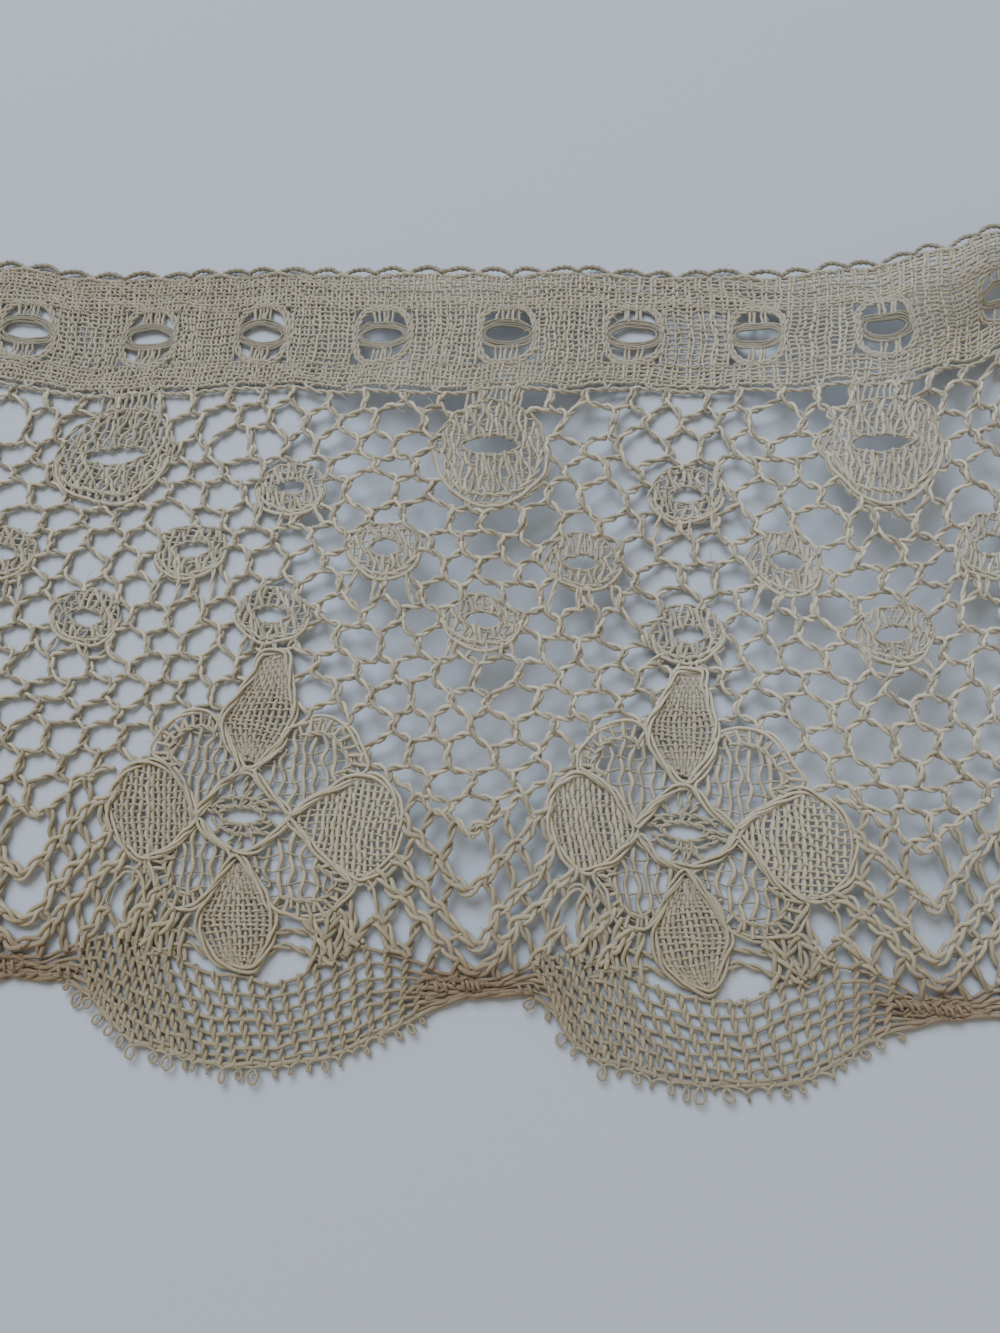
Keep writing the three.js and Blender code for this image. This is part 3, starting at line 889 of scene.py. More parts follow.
def fibres_on(strands, rng):
    """Loose fibre ends that stand off the strands, each a thin curved thread of its own."""
    density = bpy.context.scene.lace_sizes.fibres
    turns = np.linspace(0, 1, 4)
    fibres = []
    for strand in strands:
        for s, t, h in strand.points[rng.random(len(strand.points)) < density]:
            heading = rng.uniform(0, 2 * math.pi) + rng.normal(0, 1.1) * turns
            length = rng.uniform(0.3, 1.1) * turns
            rise = rng.uniform(0.05, 0.35) * turns
            path = np.column_stack([s + length * np.cos(heading), t + length * np.sin(heading), h + rise])
            fibres.append(Strand(path, rng.uniform(0.022, 0.04), False, rng.uniform(0.6, 1.6), 3))
    return raised(fibres)


def worked(name, strands, rng, material):
    """Sweeps strands and their stray fibres into threads, one object for each section and kind."""
    tree = bpy.data.node_groups.get(THREAD_TREE) or thread_tree()
    groups = {}
    for long_strand in strands + fibres_on(strands, rng):
        for strand in split_by_section(long_strand):
            for piece in within_ends(strand):
                key = (section_of(piece.points[:, 0].mean()), piece.sides, piece.raised)
                groups.setdefault(key, []).append(piece)
    for (number, sides, is_raised), members in sorted(groups.items()):
        count = [len(strand.points) for strand in members]
        starts = np.concatenate([[0], np.cumsum(count)])
        flat = np.vstack([strand.points for strand in members])
        edges = []
        for strand, start, size in zip(members, starts, count):
            first = np.arange(start, start + size - 1)
            edges.append(np.column_stack([first, first + 1]))
            if strand.closed:
                edges.append([[start + size - 1, start]])
        slubs = 1 + wavered(flat, "slubs")[:, 0]
        radius = np.repeat([strand.radius * MM for strand in members], count) * slubs
        draft = draft_object(f"{name}_{number + 1}", lie(flat), np.vstack(edges), {
            "thread_radius": radius,
            "shade": np.repeat([strand.shade for strand in members], count),
            "stain": stain_at(flat),
        }, material)
        draft["section"] = number
        draft["raised"] = is_raised
        through_tree(draft, tree, {"Sides": sides, "Material": material})


# Materials

def linear(colour):
    """An sRGB hex colour as linear red, green, blue and alpha."""
    parts = [int(colour[i:i + 2], 16) / 255 for i in (1, 3, 5)]
    return (*[p / 12.92 if p <= 0.04045 else ((p + 0.055) / 1.055) ** 2.4 for p in parts], 1.0)


def linen_thread():
    """Aged linen thread, spun by hand: matt, slubbed, yellowed unevenly and browned by old stains."""
    colours = bpy.context.scene.lace_colours
    material = bpy.data.materials.new(LINEN)
    material.use_nodes = True
    tree = material.node_tree
    shader = tree.nodes["Principled BSDF"]
    place = add_node(tree, "ShaderNodeTexCoord").outputs["Object"]
    # Yellowing drifts over about 30 mm, and the thread is made darker and yellower at the left and along
    # the scallops.
    drift = add_node(tree, "ShaderNodeTexNoise", inputs={
        "Vector": place, "Scale": 1 / (30 * MM), "Detail": 2.0,
    })
    axes = add_node(tree, "ShaderNodeSeparateXYZ", inputs={"Vector": place})
    across = add_node(tree, "ShaderNodeMapRange", inputs={
        "Value": axes.outputs["X"],
        "From Min": -40 * MM,
        "From Max": 30 * MM,
        "To Min": 0.0,
        "To Max": 0.25,
    })
    upward = add_node(tree, "ShaderNodeMapRange", inputs={
        "Value": axes.outputs["Y"],
        "From Min": -32 * MM,
        "From Max": -6 * MM,
        "To Min": -0.6,
        "To Max": 0.12,
    })
    placed = add_node(tree, "ShaderNodeMath", {"operation": "ADD"}, {
        0: across.outputs["Result"], 1: upward.outputs["Result"],
    })
    paleness = add_node(tree, "ShaderNodeMath", {"operation": "ADD", "use_clamp": True}, {
        0: drift.outputs["Fac"], 1: placed.outputs[0],
    })
    base = add_node(tree, "ShaderNodeMix", {"data_type": "RGBA"}, {
        "Factor": paleness.outputs[0], "A": linear(colours.aged), "B": linear(colours.pale),
    })
    # Each thread has its own shade, which in places is a painted highlight or painted shade, and slubs
    # about 1 mm long darken and lighten it.
    own = add_node(tree, "ShaderNodeAttribute", {"attribute_name": "shade"})
    slubs = add_node(tree, "ShaderNodeTexNoise", inputs={
        "Vector": place, "Scale": 1 / (0.9 * MM), "Detail": 3.0,
    })
    mixed = add_node(tree, "ShaderNodeMath", {"operation": "ADD"}, {
        0: own.outputs["Fac"], 1: slubs.outputs["Fac"],
    })
    tone = add_node(tree, "ShaderNodeMapRange", inputs={
        "Value": mixed.outputs[0], "From Min": -0.8, "From Max": 2.4, "To Min": 0.5, "To Max": 1.28,
    })
    shaded = add_node(tree, "ShaderNodeVectorMath", {"operation": "SCALE"}, {
        0: base.outputs["Result"], "Scale": tone.outputs["Result"],
    })
    stain = add_node(tree, "ShaderNodeAttribute", {"attribute_name": "stain"})
    soaked = add_node(tree, "ShaderNodeMath", {"operation": "MULTIPLY"}, {0: stain.outputs["Fac"], 1: 0.6})
    coloured = add_node(tree, "ShaderNodeMix", {"data_type": "RGBA"}, {
        "Factor": soaked.outputs[0], "A": shaded.outputs[0], "B": linear(colours.stain),
    })
    # Fibres about 0.1 mm long roughen the thread.
    fibres = add_node(tree, "ShaderNodeTexNoise", inputs={
        "Vector": place, "Scale": 1 / (0.12 * MM), "Detail": 2.0,
    })
    bump = add_node(tree, "ShaderNodeBump", inputs={
        "Strength": 0.5, "Distance": 0.03 * MM, "Height": fibres.outputs["Fac"],
    })
    # Dry fibres make it matt with a faint sheen, and light passes some tenths of a millimetre through them.
    set_inputs(tree, shader, {
        "Base Color": coloured.outputs["Result"],
        "Normal": bump.outputs[0],
        "Roughness": 0.85,
        "Specular IOR Level": 0.25,
        "Sheen Weight": 0.15,
        "Sheen Roughness": 0.6,
        "Subsurface Weight": 0.5,
        "Subsurface Radius": (1.0, 0.85, 0.65),
        "Subsurface Scale": 0.3 * MM,
    })
    return material


def surface_material():
    """Plain pale matt board, on which soft shadows read."""
    material = bpy.data.materials.new("Pale matt board")
    material.use_nodes = True
    set_inputs(material.node_tree, material.node_tree.nodes["Principled BSDF"], {
        "Base Color": linear(bpy.context.scene.lace_colours.surface),
        "Roughness": 0.9,
        "Specular IOR Level": 0.2,
    })
    return material


# The bands of the lace, each as strands

def heading_strands(sizes, rng):
    """The looped edge, the two close bands, the row of eyelets and the footing."""
    radius = sizes.thread / MM / 2
    strands = []
    reach = np.arange(-HALF_LENGTH, HALF_LENGTH + 0.01, 0.3)
    swing = np.abs(np.sin(np.pi * reach / LOOP_PITCH))
    crossing = 0.1 * np.cos(np.pi * reach / LOOP_PITCH)
    upper = np.column_stack([reach, HEADING_T + LOOP_RISE * swing**0.7, CLOTH_H + crossing])
    lower = np.column_stack([reach, HEADING_T - LOOP_SAG * swing, CLOTH_H - crossing])
    # The loops are painted darker: painted shade, as if lit from behind.
    strands += pair("heading loops", upper, radius, shade=-0.7)
    strands += pair("heading line", lower, radius)
    steps = np.arange(-HALF_LENGTH, HALF_LENGTH + 0.01, UPRIGHT_GAP)
    for low, high, rows in BAND_ROWS:
        for i, level in enumerate(np.linspace(low, high, rows)):
            over = over_under(len(steps), i)
            path = np.column_stack([
                steps, level + 0.08 * np.sin(steps * 0.9 + level * 3), CLOTH_H + over * radius * 0.6,
            ])
            strands.append(worked_thread(path, radius, rng))
    footing = np.column_stack([reach, np.full(reach.shape, FOOTING_T), np.full(reach.shape, CLOTH_H)])
    strands += pair("footing", footing, radius, shade=0.4)
    strands += band_uprights(radius, rng)
    strands += eyelets(radius, rng)
    return strands


def wavy_upright(s, low, high, radius, rng, sway=0.07):
    """One upright thread between two heights, passing over and under the rows."""
    count = max(3, int((high - low) / 0.5) + 1)
    t = np.linspace(low, high, count)
    over = over_under(count) * (1 if rng.random() < 0.5 else -1)
    path = np.column_stack([
        s + sway * np.sin(t * 2 + rng.uniform(0, 6)), t, CLOTH_H + over * radius * 0.8,
    ])
    return worked_thread(path, radius, rng)


def band_uprights(radius, rng):
    """Upright threads of the heading; they stand closer at the left, where the work is tight."""
    strands = []
    s = -HALF_LENGTH + 0.2
    number = 0
    while s < HALF_LENGTH:
        loosened = float(eased(s, 4, 18))
        from_eyelet = abs((s + EYELET_PITCH / 2) % EYELET_PITCH - EYELET_PITCH / 2)
        strands.append(wavy_upright(s, STRIP[0] - 0.2, STRIP[1] + 0.2, radius, rng))
        strands.append(wavy_upright(s, NARROW_BAND[0] - 0.15, NARROW_BAND[1] + 0.15, radius, rng))
        if from_eyelet > COLUMN_FROM:
            strands.append(wavy_upright(s, NARROW_BAND[1], STRIP[0], radius, rng))
        elif from_eyelet < TIES_WITHIN:
            strands.append(wavy_upright(s, NARROW_BAND[1], EYELET_T - EYELET["tall"] + 0.1, radius, rng))
            strands.append(wavy_upright(s, EYELET_T + EYELET["tall"] - 0.1, STRIP[0], radius, rng))
        in_pair = number % 2 == 0
        s += UPRIGHT_GAP - 0.05 * loosened + (0 if in_pair else 0.42 * loosened) + rng.normal(0, 0.05)
        number += 1
    for i in range(int(2 * HALF_LENGTH / TIE_PITCH)):
        s = -HALF_LENGTH + (i + 0.5) * TIE_PITCH
        for side in (-1, 1):
            path = [
                (s + side * TIE_SPREAD, NARROW_BAND[0] + 0.1, CLOTH_H), (s, FOOTING_T, CLOTH_H + 0.1),
            ]
            strands.append(Strand(resampled(path, SAMPLE), radius, False, rng.uniform(0, 1)))
    return strands


def rounded_cell(s, t, wide, tall):
    """A closed path between an oval and a rectangle, the shape of the cell round an eyelet."""
    oval = ellipse(s, t, wide, tall)
    away = (oval - (s, t)) / (wide, tall)
    reach = 1 / (np.abs(away) ** CELL_POWER).sum(1) ** (1 / CELL_POWER)
    return away * reach[:, None] * (wide, tall) + (s, t)


def eyelets(radius, rng):
    """The row of oval eyelets and the rows of cloth between them."""
    strands = []
    half_row = (STRIP[0] - NARROW_BAND[1]) / 2
    for line in np.arange(-HALF_LENGTH, HALF_LENGTH + 0.1, EYELET_PITCH):
        for outset in CELL_OUTSETS:
            cell = lifted(rounded_cell(line, EYELET_T, COLUMN_FROM + outset, half_row + outset), CLOTH_H)
            strands += raised(pair("eyelet cell", cell, radius, closed=True, shade=0.3))
        for inset in EDGE_INSETS:
            oval = uneven_oval(line, EYELET_T, EYELET["wide"] - inset, EYELET["tall"] - inset, rng)
            path = lifted(oval, CLOTH_H + 0.05)
            thick = radius * rng.uniform(0.7, 0.9)
            strands.append(Strand(path, thick, True, rng.uniform(-1.1, -0.4), raised=True))
        for level in np.arange(NARROW_BAND[1] + 0.3, STRIP[0], 0.5):
            from_middle = max(0.0, 1 - abs(level - EYELET_T) / EYELET["tall"])
            narrow = COLUMN_FROM - 0.2 * from_middle
            s = np.arange(line + narrow, line + EYELET_PITCH - narrow + 0.01, UPRIGHT_GAP)
            height = CLOTH_H + over_under(len(s)) * radius * 0.6
            path = np.column_stack([s, level + 0.08 * np.sin(s * 1.3 + level), height])
            strands.append(Strand(path, radius * 0.9, False, rng.uniform(0, 1), 4))
    return strands


def net_strands(sizes, rng):
    """The hexagon net: pairs of threads zigzag up, crossing their neighbours in every upright bar."""
    radius = sizes.net_thread / MM / 2
    rows = int((FOOTING_T - NET_FROM_T) / NET_ROW) + 1
    columns = int(HALF_LENGTH / NET_PITCH) + 2
    strands = []
    for column in range(-columns, columns + 1):
        for side in (-1, 1):
            path = []
            for row in range(rows + 1):
                odd = row % 2
                middle = (column + side * odd / 2) * NET_PITCH
                sign = side * (-1 if odd else 1)
                level = NET_FROM_T + row * NET_ROW
                for part in np.linspace(0, 1, 4):
                    aside = sign * radius * math.cos(2 * math.pi * part) * 1.1
                    over = sign * radius * math.sin(2 * math.pi * part)
                    path.append((middle + aside, level + (part - 0.5) * NET_BAR, NET_H + over))
            path = pulled_net(curved(path, 0.4))
            keep = (from_motifs(path) > -0.3) & (path[:, 1] < FOOTING_T + 0.2) & above_border(path)
            plies = twisted(path, radius, radius * 2.2, 2.6, start=rng.uniform(0, 6))
            # One ply of each pair is painted light and the other dark: a painted highlight, and painted
            # shadow lines along the net's walls.
            for ply, shade in zip(plies, (rng.uniform(1.4, 2.3), rng.uniform(-0.5, 0.6))):
                ply.shade = shade
                strands += clipped(ply, keep, least=6)
    return strands


def pulled_net(path):
    """The net's points where the uneven pull of the work leaves them."""
    path = opened_cells(path)
    return path + (wavered(path, "net") + wavered(path, "net bars")) * (1, 1, 0)


def above_border(points):
    """True above the thin V that ends the net and above the border's first plait."""
    u = folded(points[:, 0], 0)
    top = np.where(np.abs(u) < NET_FOOT_REACH, plait_height(NET_FOOT, u), plait_height(PLAITS[0], u))
    return points[:, 1] > np.minimum(top, BORDER_TO_T) - 0.4


def nearest_in_net(s, t, offset):
    """The nearest bar of the net to a place, or with an offset of a half the nearest cell's middle."""
    row = round((t - NET_FROM_T) / NET_ROW)
    shift = (row % 2) / 2 + offset
    return (round(s / NET_PITCH - shift) + shift) * NET_PITCH, NET_FROM_T + row * NET_ROW


def wall_below(s, t):
    """The place straight below on the next slanted wall of the net, as the pull leaves it."""
    row = math.floor((t - NET_FROM_T - NET_BAR) / NET_ROW)
    shift = (row % 2) / 2
    from_bar = abs((s / NET_PITCH - shift + 0.5) % 1 - 0.5) * 2
    level = NET_FROM_T + row * NET_ROW + NET_BAR / 2 + (NET_ROW - NET_BAR) * from_bar
    return pulled_net(np.array([[s, level, NET_H]]))[0]


def opened_cells(path):
    """Pushes the net apart round the cells that stand open beside the rings."""
    moved = path.copy()
    for line in lines_at(0):
        for ds, t in WIDE_CELLS:
            away = path[:, :2] - nearest_in_net(line + ds, t, 0.5)
            near = np.exp(-((away / WIDE_REACH) ** 2).sum(1))
            moved[:, :2] += away * (WIDE_GROWTH * near)[:, None]
    return moved


def uneven_oval(s, t, wide, tall, rng, start=0.0, end=360.0):
    """An oval whose reach varies a little all the way round."""
    oval = ellipse(s, t, wide, tall, start=start, end=end)
    away = oval - (s, t)
    angle = np.arctan2(away[:, 1] / tall, away[:, 0] / wide)
    reach = 1 + 0.03 * np.sin(2 * angle + rng.uniform(0, 6)) + 0.02 * np.sin(5 * angle + rng.uniform(0, 6))
    return away * reach[:, None] + (s, t)


def oval_motif(s, t, wide, tall, hole, sizes, rng):
    """A ring or spot of cloth stitch with the edge of its hole, its outline and a laddered rim below."""
    radius = sizes.thread / MM / 2
    upper = uneven_oval(s, t, wide * 0.96, tall * 0.96, rng, start=0, end=180)
    lower = uneven_oval(s, t, wide * 0.92, tall * 0.8, rng, start=180, end=360)
    hole_s, hole_t, hole_wide, hole_tall = hole
    opening = uneven_oval(hole_s, hole_t, hole_wide, hole_tall, rng)
    contours = [np.vstack([upper, lower[1:-1]]), opening]
    lean = rng.uniform(-9, 9)
    strands = woven(contours, sizes, rng, lean, gap=0.47, weft_gap=0.62, fine=0.6, waver=0.16)
    for strand in strands:
        strand.points[:, :2] += wavered(strand.points, "rings")[:, :2]
        strand.shade = rng.uniform(-0.2, 1.5)
    strands += raised(pair("hole edge", lifted(opening, CLOTH_H), radius, closed=True, shade=0.0))
    outline = uneven_oval(s, t, wide, tall, rng)
    strands += raised(pair("ring outline", lifted(outline, CLOTH_H), radius, closed=True, shade=0.3))
    strands += raised(pair("ring ladder", lifted(lower, OUTLINE_H - 0.1), radius, shade=1.0))
    rim = uneven_oval(s, t, wide, tall * 0.98, rng, start=185, end=355)
    strands.append(Strand(lifted(rim, OUTLINE_H), radius, False, 1.2, raised=True))
    for place in np.arange(s - wide * 0.8, s + wide * 0.81, 0.75):
        reach = math.sqrt(1 - ((place - s) / wide) ** 2)
        rung = [(place, t - tall * reach * 0.76, CLOTH_H), (place + 0.15, t - tall * reach * 1.02, CLOTH_H)]
        strands += pair("ladder rung", resampled(rung, 0.3), radius, start=rng.uniform(0, 6))
    return strands


def ring_and_spot_strands(sizes, rng):
    """Big rings on the valley lines with their necks, and the rows of spots with their legs."""
    radius = sizes.thread / MM / 2
    strands = []
    for line in lines_at(0):
        hole = (line, RING["hole_t"], RING["hole_wide"], RING["hole_tall"])
        strands += oval_motif(line, RING["t"], RING["wide"], RING["tall"], hole, sizes, rng)
        for ds in np.arange(-2.6, 2.61, 0.52):
            top = RING["t"] + RING["tall"] * math.sqrt(1 - (ds / RING["wide"]) ** 2)
            strands.append(wavy_upright(line + ds, top - 0.3, NARROW_BAND[0] + 0.2, radius, rng))
    for row in SPOT_ROWS:
        for part in row["at"]:
            for line in lines_at(part):
                hole = (line, row["t"] + 0.15, SPOT["hole_wide"], SPOT["hole_tall"])
                strands += oval_motif(line, row["t"], SPOT["wide"], SPOT["tall"], hole, sizes, rng)
                strands += legs(line, row["t"] - SPOT["tall"], radius, rng)
    return strands


def legs(line, low, radius, rng):
    """Pairs that leave a spot below: two that hang straight down side by side, and one at each side."""
    strands = []
    for ds, rise in SPOT_LEGS:
        foot = wall_below(line + ds * 1.3, low)
        leg = resampled([(line + ds, low + rise, OUTLINE_H), foot], 0.3)
        start, shade = rng.uniform(0, 6), rng.uniform(1.1, 1.7)
        strands += raised(pair("spot leg", leg, radius, start=start, shade=shade))
    return strands


def flower_strands(sizes, rng):
    """Four dense petals and four open ones round an eye, all outlined by threads that lie side by side."""
    strands = []
    for line in lines_at(0.5):
        at = np.array([line, 0.0])
        for name, petal in DENSE_PETALS.items():
            petal = np.array(petal) + at
            if name in PETAL_LEAN:
                within = curved(petal, 0.3, closed=True)
                cloth = woven(
                    [within], sizes, rng, PETAL_LEAN[name], gap=0.46, weft_gap=0.52, filled=0.9
                )
            else:
                cloth = fanned(petal, sizes, rng, FANNED_UPRIGHTS)
            for strand in cloth:
                strand.shade += PETAL_LIGHTNESS[name]
            strands += cloth
            strands += gimp(curved(petal, SAMPLE, closed=True), sizes, rng)
        for petal in OPEN_PETALS.values():
            petal = np.array(petal) + at
            strands += half_stitch(petal, sizes, rng, lean=rng.uniform(-4, 4))
            outline = curved(petal, SAMPLE, closed=True)
            strands += gimp(outline, sizes, rng)[:2]
            strands += outer_ladder(outline, (line, FLOWER_EYE_T), sizes, rng)
        for side in (-1, 1):
            arch = lifted(curved(np.array(ARCH) * (side, 1) + at), OUTLINE_H)
            strands += raised(pair("arch", arch, sizes.outline_thread / MM / 2, shade=1.0))
        strands += flower_eye(line, sizes, rng)
    return strands


def flower_eye(line, sizes, rng):
    """The middle: a rim of threads side by side, an uneven oval inside it and crooked bars between them."""
    radius = sizes.thread / MM / 2
    rim = curved(np.array(FLOWER_RIM) + (line, 0), SAMPLE, closed=True)
    strands = gimp(rim, sizes, rng)
    inner = uneven_oval(line, FLOWER_EYE_T, 1.9, 0.75, rng)
    strands += pair("eye oval", lifted(inner, CLOTH_H), radius, closed=True)
    for start, end in ((20, 170), (190, 345)):
        arc = uneven_oval(line, FLOWER_EYE_T, 2.7, 1.5, rng, start, end)
        strands += pair("eye arc", lifted(arc, NET_H), radius)
    inward, outward = (np.arctan2(*(oval - (line, FLOWER_EYE_T)).T[::-1]) for oval in (inner, rim))
    for degrees in np.arange(8, 360, 24):
        angle = math.radians(degrees + rng.uniform(-9, 9))
        start = inner[np.argmin(np.abs(inward % (2 * np.pi) - angle))]
        end = rim[np.argmax(np.cos(outward - angle - rng.uniform(-0.25, 0.25)))]
        middle = (start + end) / 2 + rng.normal(0, 0.18, 2)
        bar = curved([start, middle, end], 0.3)
        strands += pair("eye bar", lifted(bar, NET_H), radius, start=rng.uniform(0, 6))
    return strands


def in_border(points):
    """True between the net and the scalloped band, outside the flowers."""
    a = folded(points[:, 0], FLOWER_A)
    flower = np.column_stack([a, points[:, 1]])
    clear = from_outline(flower, FLOWER_OUTLINE) > -0.2
    hole = ARCH_OPENING
    open_arch = from_oval(np.abs(a) - hole["a"], points[:, 1] - hole["t"], hole["wide"], hole["tall"]) <= 0
    return clear & ~open_arch & (points[:, 1] > band_inner(a) - 0.3) & (points[:, 1] < BORDER_TO_T)


def plait_height(plait, u):
    """Height of a plait at a distance u from the valley's line, where it turns in a rounded V."""
    u = np.abs(u)
    stepped = PLAIT_STEP * np.cos(2 * np.pi * (u - LINK_FROM - LINK_LEAN) / LINK_PITCH)
    return plait["meets"] + (plait["rise"] * u + stepped) * (1 - np.exp(-u / PLAIT_ROUNDING))


def plaited(path, radius, start, rng):
    """Three threads plaited flat along a path."""
    along = distances(path)
    across = sideways(path)
    strands = []
    for ply in range(3):
        angle = 2 * np.pi * (along / PLAIT_TURN + ply / 3) + start
        side = across * (PLAIT_HALF_WIDTH * np.cos(angle))[:, None]
        rise = radius * 0.9 * np.sin(2 * angle)
        points = path + np.column_stack([side, rise])
        # The plait's threads are painted lighter than the links: a painted highlight on the plaits.
        strands.append(Strand(points, radius * rng.uniform(0.9, 1.08), False, rng.uniform(0.7, 1.7)))
    return strands


def border_strands(sizes, rng):
    """Thick plaits that slant down to each valley and turn there, tied by short twisted links."""
    radius = sizes.thread / MM / 2
    strands = []
    u = np.arange(-PLAIT_REACH, PLAIT_REACH + 0.01, 0.26)
    near = u[np.abs(u) < NET_FOOT_REACH]
    for line in lines_at(0):
        foot = unsettled(np.column_stack([line + near, plait_height(NET_FOOT, near)]))
        keep = in_border(foot)
        for strand in pair("net foot", lifted(foot, NET_H), sizes.net_thread / MM / 2, shade=1.3):
            strands += clipped(strand, keep)
        strands += links(line, NET_FOOT, PLAITS[0], NET_FOOT_REACH, radius, rng)
        for i, plait in enumerate(PLAITS):
            path = unsettled(np.column_stack([line + u, plait_height(plait, u)]))
            keep = in_border(path)
            for strand in plaited(lifted(path, NET_H + 0.25), radius * 1.3, i, rng):
                strands += clipped(strand, keep, least=8)
        for plait, below in zip(PLAITS, PLAITS[1:]):
            strands += links(line, plait, below, PLAIT_REACH, radius, rng)
        strands += valley_bundle(line, radius, rng)
    for line in lines_at(0.5):
        strands += bowed_pairs(line, 1, RIGHT_FOOT, 5.6, radius, rng)
        strands += bowed_pairs(line, -1, LEFT_FOOT, 3.9, radius, rng)
        for side in (-1, 1):
            for row in UNDER_ROWS:
                path = lifted(curved(np.array(row) * (side, 1) + (line, 0), 0.3), NET_H)
                strands += pair("under row", path, radius, start=rng.uniform(0, 6), shade=0.6)
    return strands


def bowed_pairs(line, side, edge, first, radius, rng):
    """Pairs that bow out on their way down from an open petal to the scalloped band."""
    strands = []
    for away in np.arange(first, BOWED_TO, BOWED_PITCH):
        high = between_straight(edge, away) + 0.2
        low = band_inner(side * (away + 0.3)) - 0.1
        bow = [(away, high), (away + 0.5, (high + low) / 2), (away + 0.2, low)]
        path = lifted(curved(np.array(bow) * (side, 1) + (line, 0), 0.3), NET_H + 0.1)
        strands += pair("bowed pair", path, radius, start=rng.uniform(0, 6), shade=0.8)
    return strands


def unsettled(path):
    """The border's points where the uneven pull of the work leaves them."""
    return path + wavered(path, "border")[:, :2]


def links(line, plait, below, reach, radius, rng):
    """The short twisted ties from one plait down to the next, on both sides of a valley."""
    strands = []
    for side in (-1, 1):
        for place in np.arange(LINK_FROM, reach - 1, LINK_PITCH):
            top = place + rng.normal(0, 0.1)
            foot = top + LINK_LEAN
            link = unsettled(resampled([
                (line + side * top, plait_height(plait, top)),
                (line + side * foot, plait_height(below, foot)),
            ], 0.28))
            keep = in_border(link)
            path = lifted(link, NET_H + 0.15)
            for ply in twisted(path, radius * 1.3, radius * 2.4, 3.2, start=rng.uniform(0, 6)):
                # The links are painted darker than the plaits: painted shade between them.
                ply.shade = rng.uniform(-0.2, 0.8)
                strands += clipped(ply, keep, least=4)
    return strands


def valley_bundle(line, radius, rng):
    """The long threads that lie close together along the valley, knotted and fuzzy."""
    strands = []
    for i in range(BUNDLE_THREADS):
        start = rng.uniform(-5.6, -1.6)
        reach = np.arange(start, start + rng.uniform(3.0, 6.5), 0.26)
        sway = 0.22 * np.sin(reach * rng.uniform(1.2, 2.6) + rng.uniform(0, 6))
        sway += 0.1 * np.sin(reach * rng.uniform(4, 6) + rng.uniform(0, 6))
        height = CLOTH_H + 0.22 * np.sin(reach * rng.uniform(2.2, 3.2) + 2 * i)
        path = np.column_stack([line + reach, VALLEY_T + 0.1 + 0.13 * i + sway, height])
        strands.append(Strand(path, radius * rng.uniform(0.75, 1.2), False, rng.uniform(-0.8, 1.6)))
    for place in rng.uniform(-4.5, 4.0, BUNDLE_KNOTS):
        reach = line + place + np.arange(0, 1.6, 0.14)
        knot = np.column_stack([reach, np.full(len(reach), VALLEY_T + rng.uniform(0.4, 0.9))])
        wound = lifted(knot, CLOTH_H + 0.1)
        strands += pair("valley knot", wound, radius, plies=1, shade=rng.uniform(0, 1.4))
    return strands


def scallop_strands(sizes, rng):
    """The scalloped band: long threads that follow the edge and twisted pairs that cross them."""
    radius = sizes.thread / MM / 2
    strands = []
    a = np.arange(-REPEAT / 2, REPEAT / 2 + 0.01, 0.36)
    for line in lines_at(0.5):
        low, high = band_outer(a), band_inner(a)
        for i, part in enumerate(BAND_THREADS):
            t = low + (high - low) * part + 0.08 * np.sin(a * 0.8 + i * 2)
            h = CLOTH_H + 0.12 * np.sin(np.pi * a / 1.35 + np.pi * i)
            path = np.column_stack([line + a, t, h])
            thick = 1.25 if i == 0 else rng.uniform(0.9, 1.15)
            strands.append(Strand(path, radius * thick, False, rng.uniform(0.2, 1)))
        strands += picots(line, radius, rng)
        for place in CROSS_THREADS:
            lean = between_straight(BAND_LEAN, place)
            top = band_inner(place) + 0.2
            bottom = band_outer(place + lean) + 0.05
            path = resampled([(line + place, top), (line + place + lean, bottom)], 0.3)
            if top - bottom > 0.6:
                start, shade = rng.uniform(0, 6), rng.uniform(0.2, 0.9)
                strands += pair("cross thread", lifted(path, CLOTH_H), radius, start=start, shade=shade)
    return strands


def picots(line, radius, rng):
    """The small loops of the scalloped edge: one thread that turns over itself all the way along."""
    first, last = PICOTS_BETWEEN
    edge = resampled([point for point in SCALLOP if first < point[0] < last], PICOT_STEP)
    ahead = np.gradient(edge, axis=0)
    ahead /= np.linalg.norm(ahead, axis=1, keepdims=True)
    outward = -sideways(edge)
    along = np.arange(len(edge)) * PICOT_STEP
    stray = wavered(np.column_stack([along + line, along]), "picots")
    turn = 2 * np.pi * along / PICOT_PITCH + 2.5 * stray[:, 0]
    size = PICOT_SIZE * (1 + 0.9 * stray[:, 1])
    path = edge + ahead * (size * np.sin(turn))[:, None]
    path = path + outward * (size * (0.9 - np.cos(turn)))[:, None]
    height = CLOTH_H + 0.1 + 0.12 * np.sin(turn / 2)
    points = np.column_stack([path[:, 0] + line, path[:, 1], height])
    return raised([Strand(points, radius * 0.8, False, rng.uniform(0.2, 1.0))])


# Operators

def work_band(context, name, make_strands, number):
    """Works one band of the lace from its own random draws."""
    rng = np.random.default_rng(SEED + number)
    material = bpy.data.materials.get(LINEN) or linen_thread()
    worked(name, make_strands(context.scene.lace_sizes, rng), rng, material)
    return {"FINISHED"}


class LACE_OT_heading(bpy.types.Operator):
    """Work the looped heading, its two close bands, the eyelets and the footing"""

    bl_idname = "lace.heading"
    bl_label = "Work the heading"

    def execute(self, context):
        return work_band(context, "heading", heading_strands, 0)


class LACE_OT_net(bpy.types.Operator):
    """Make the hexagon net between the footing and the border"""

    bl_idname = "lace.net"
    bl_label = "Make the net"

    def execute(self, context):
        return work_band(context, "net", net_strands, 1)


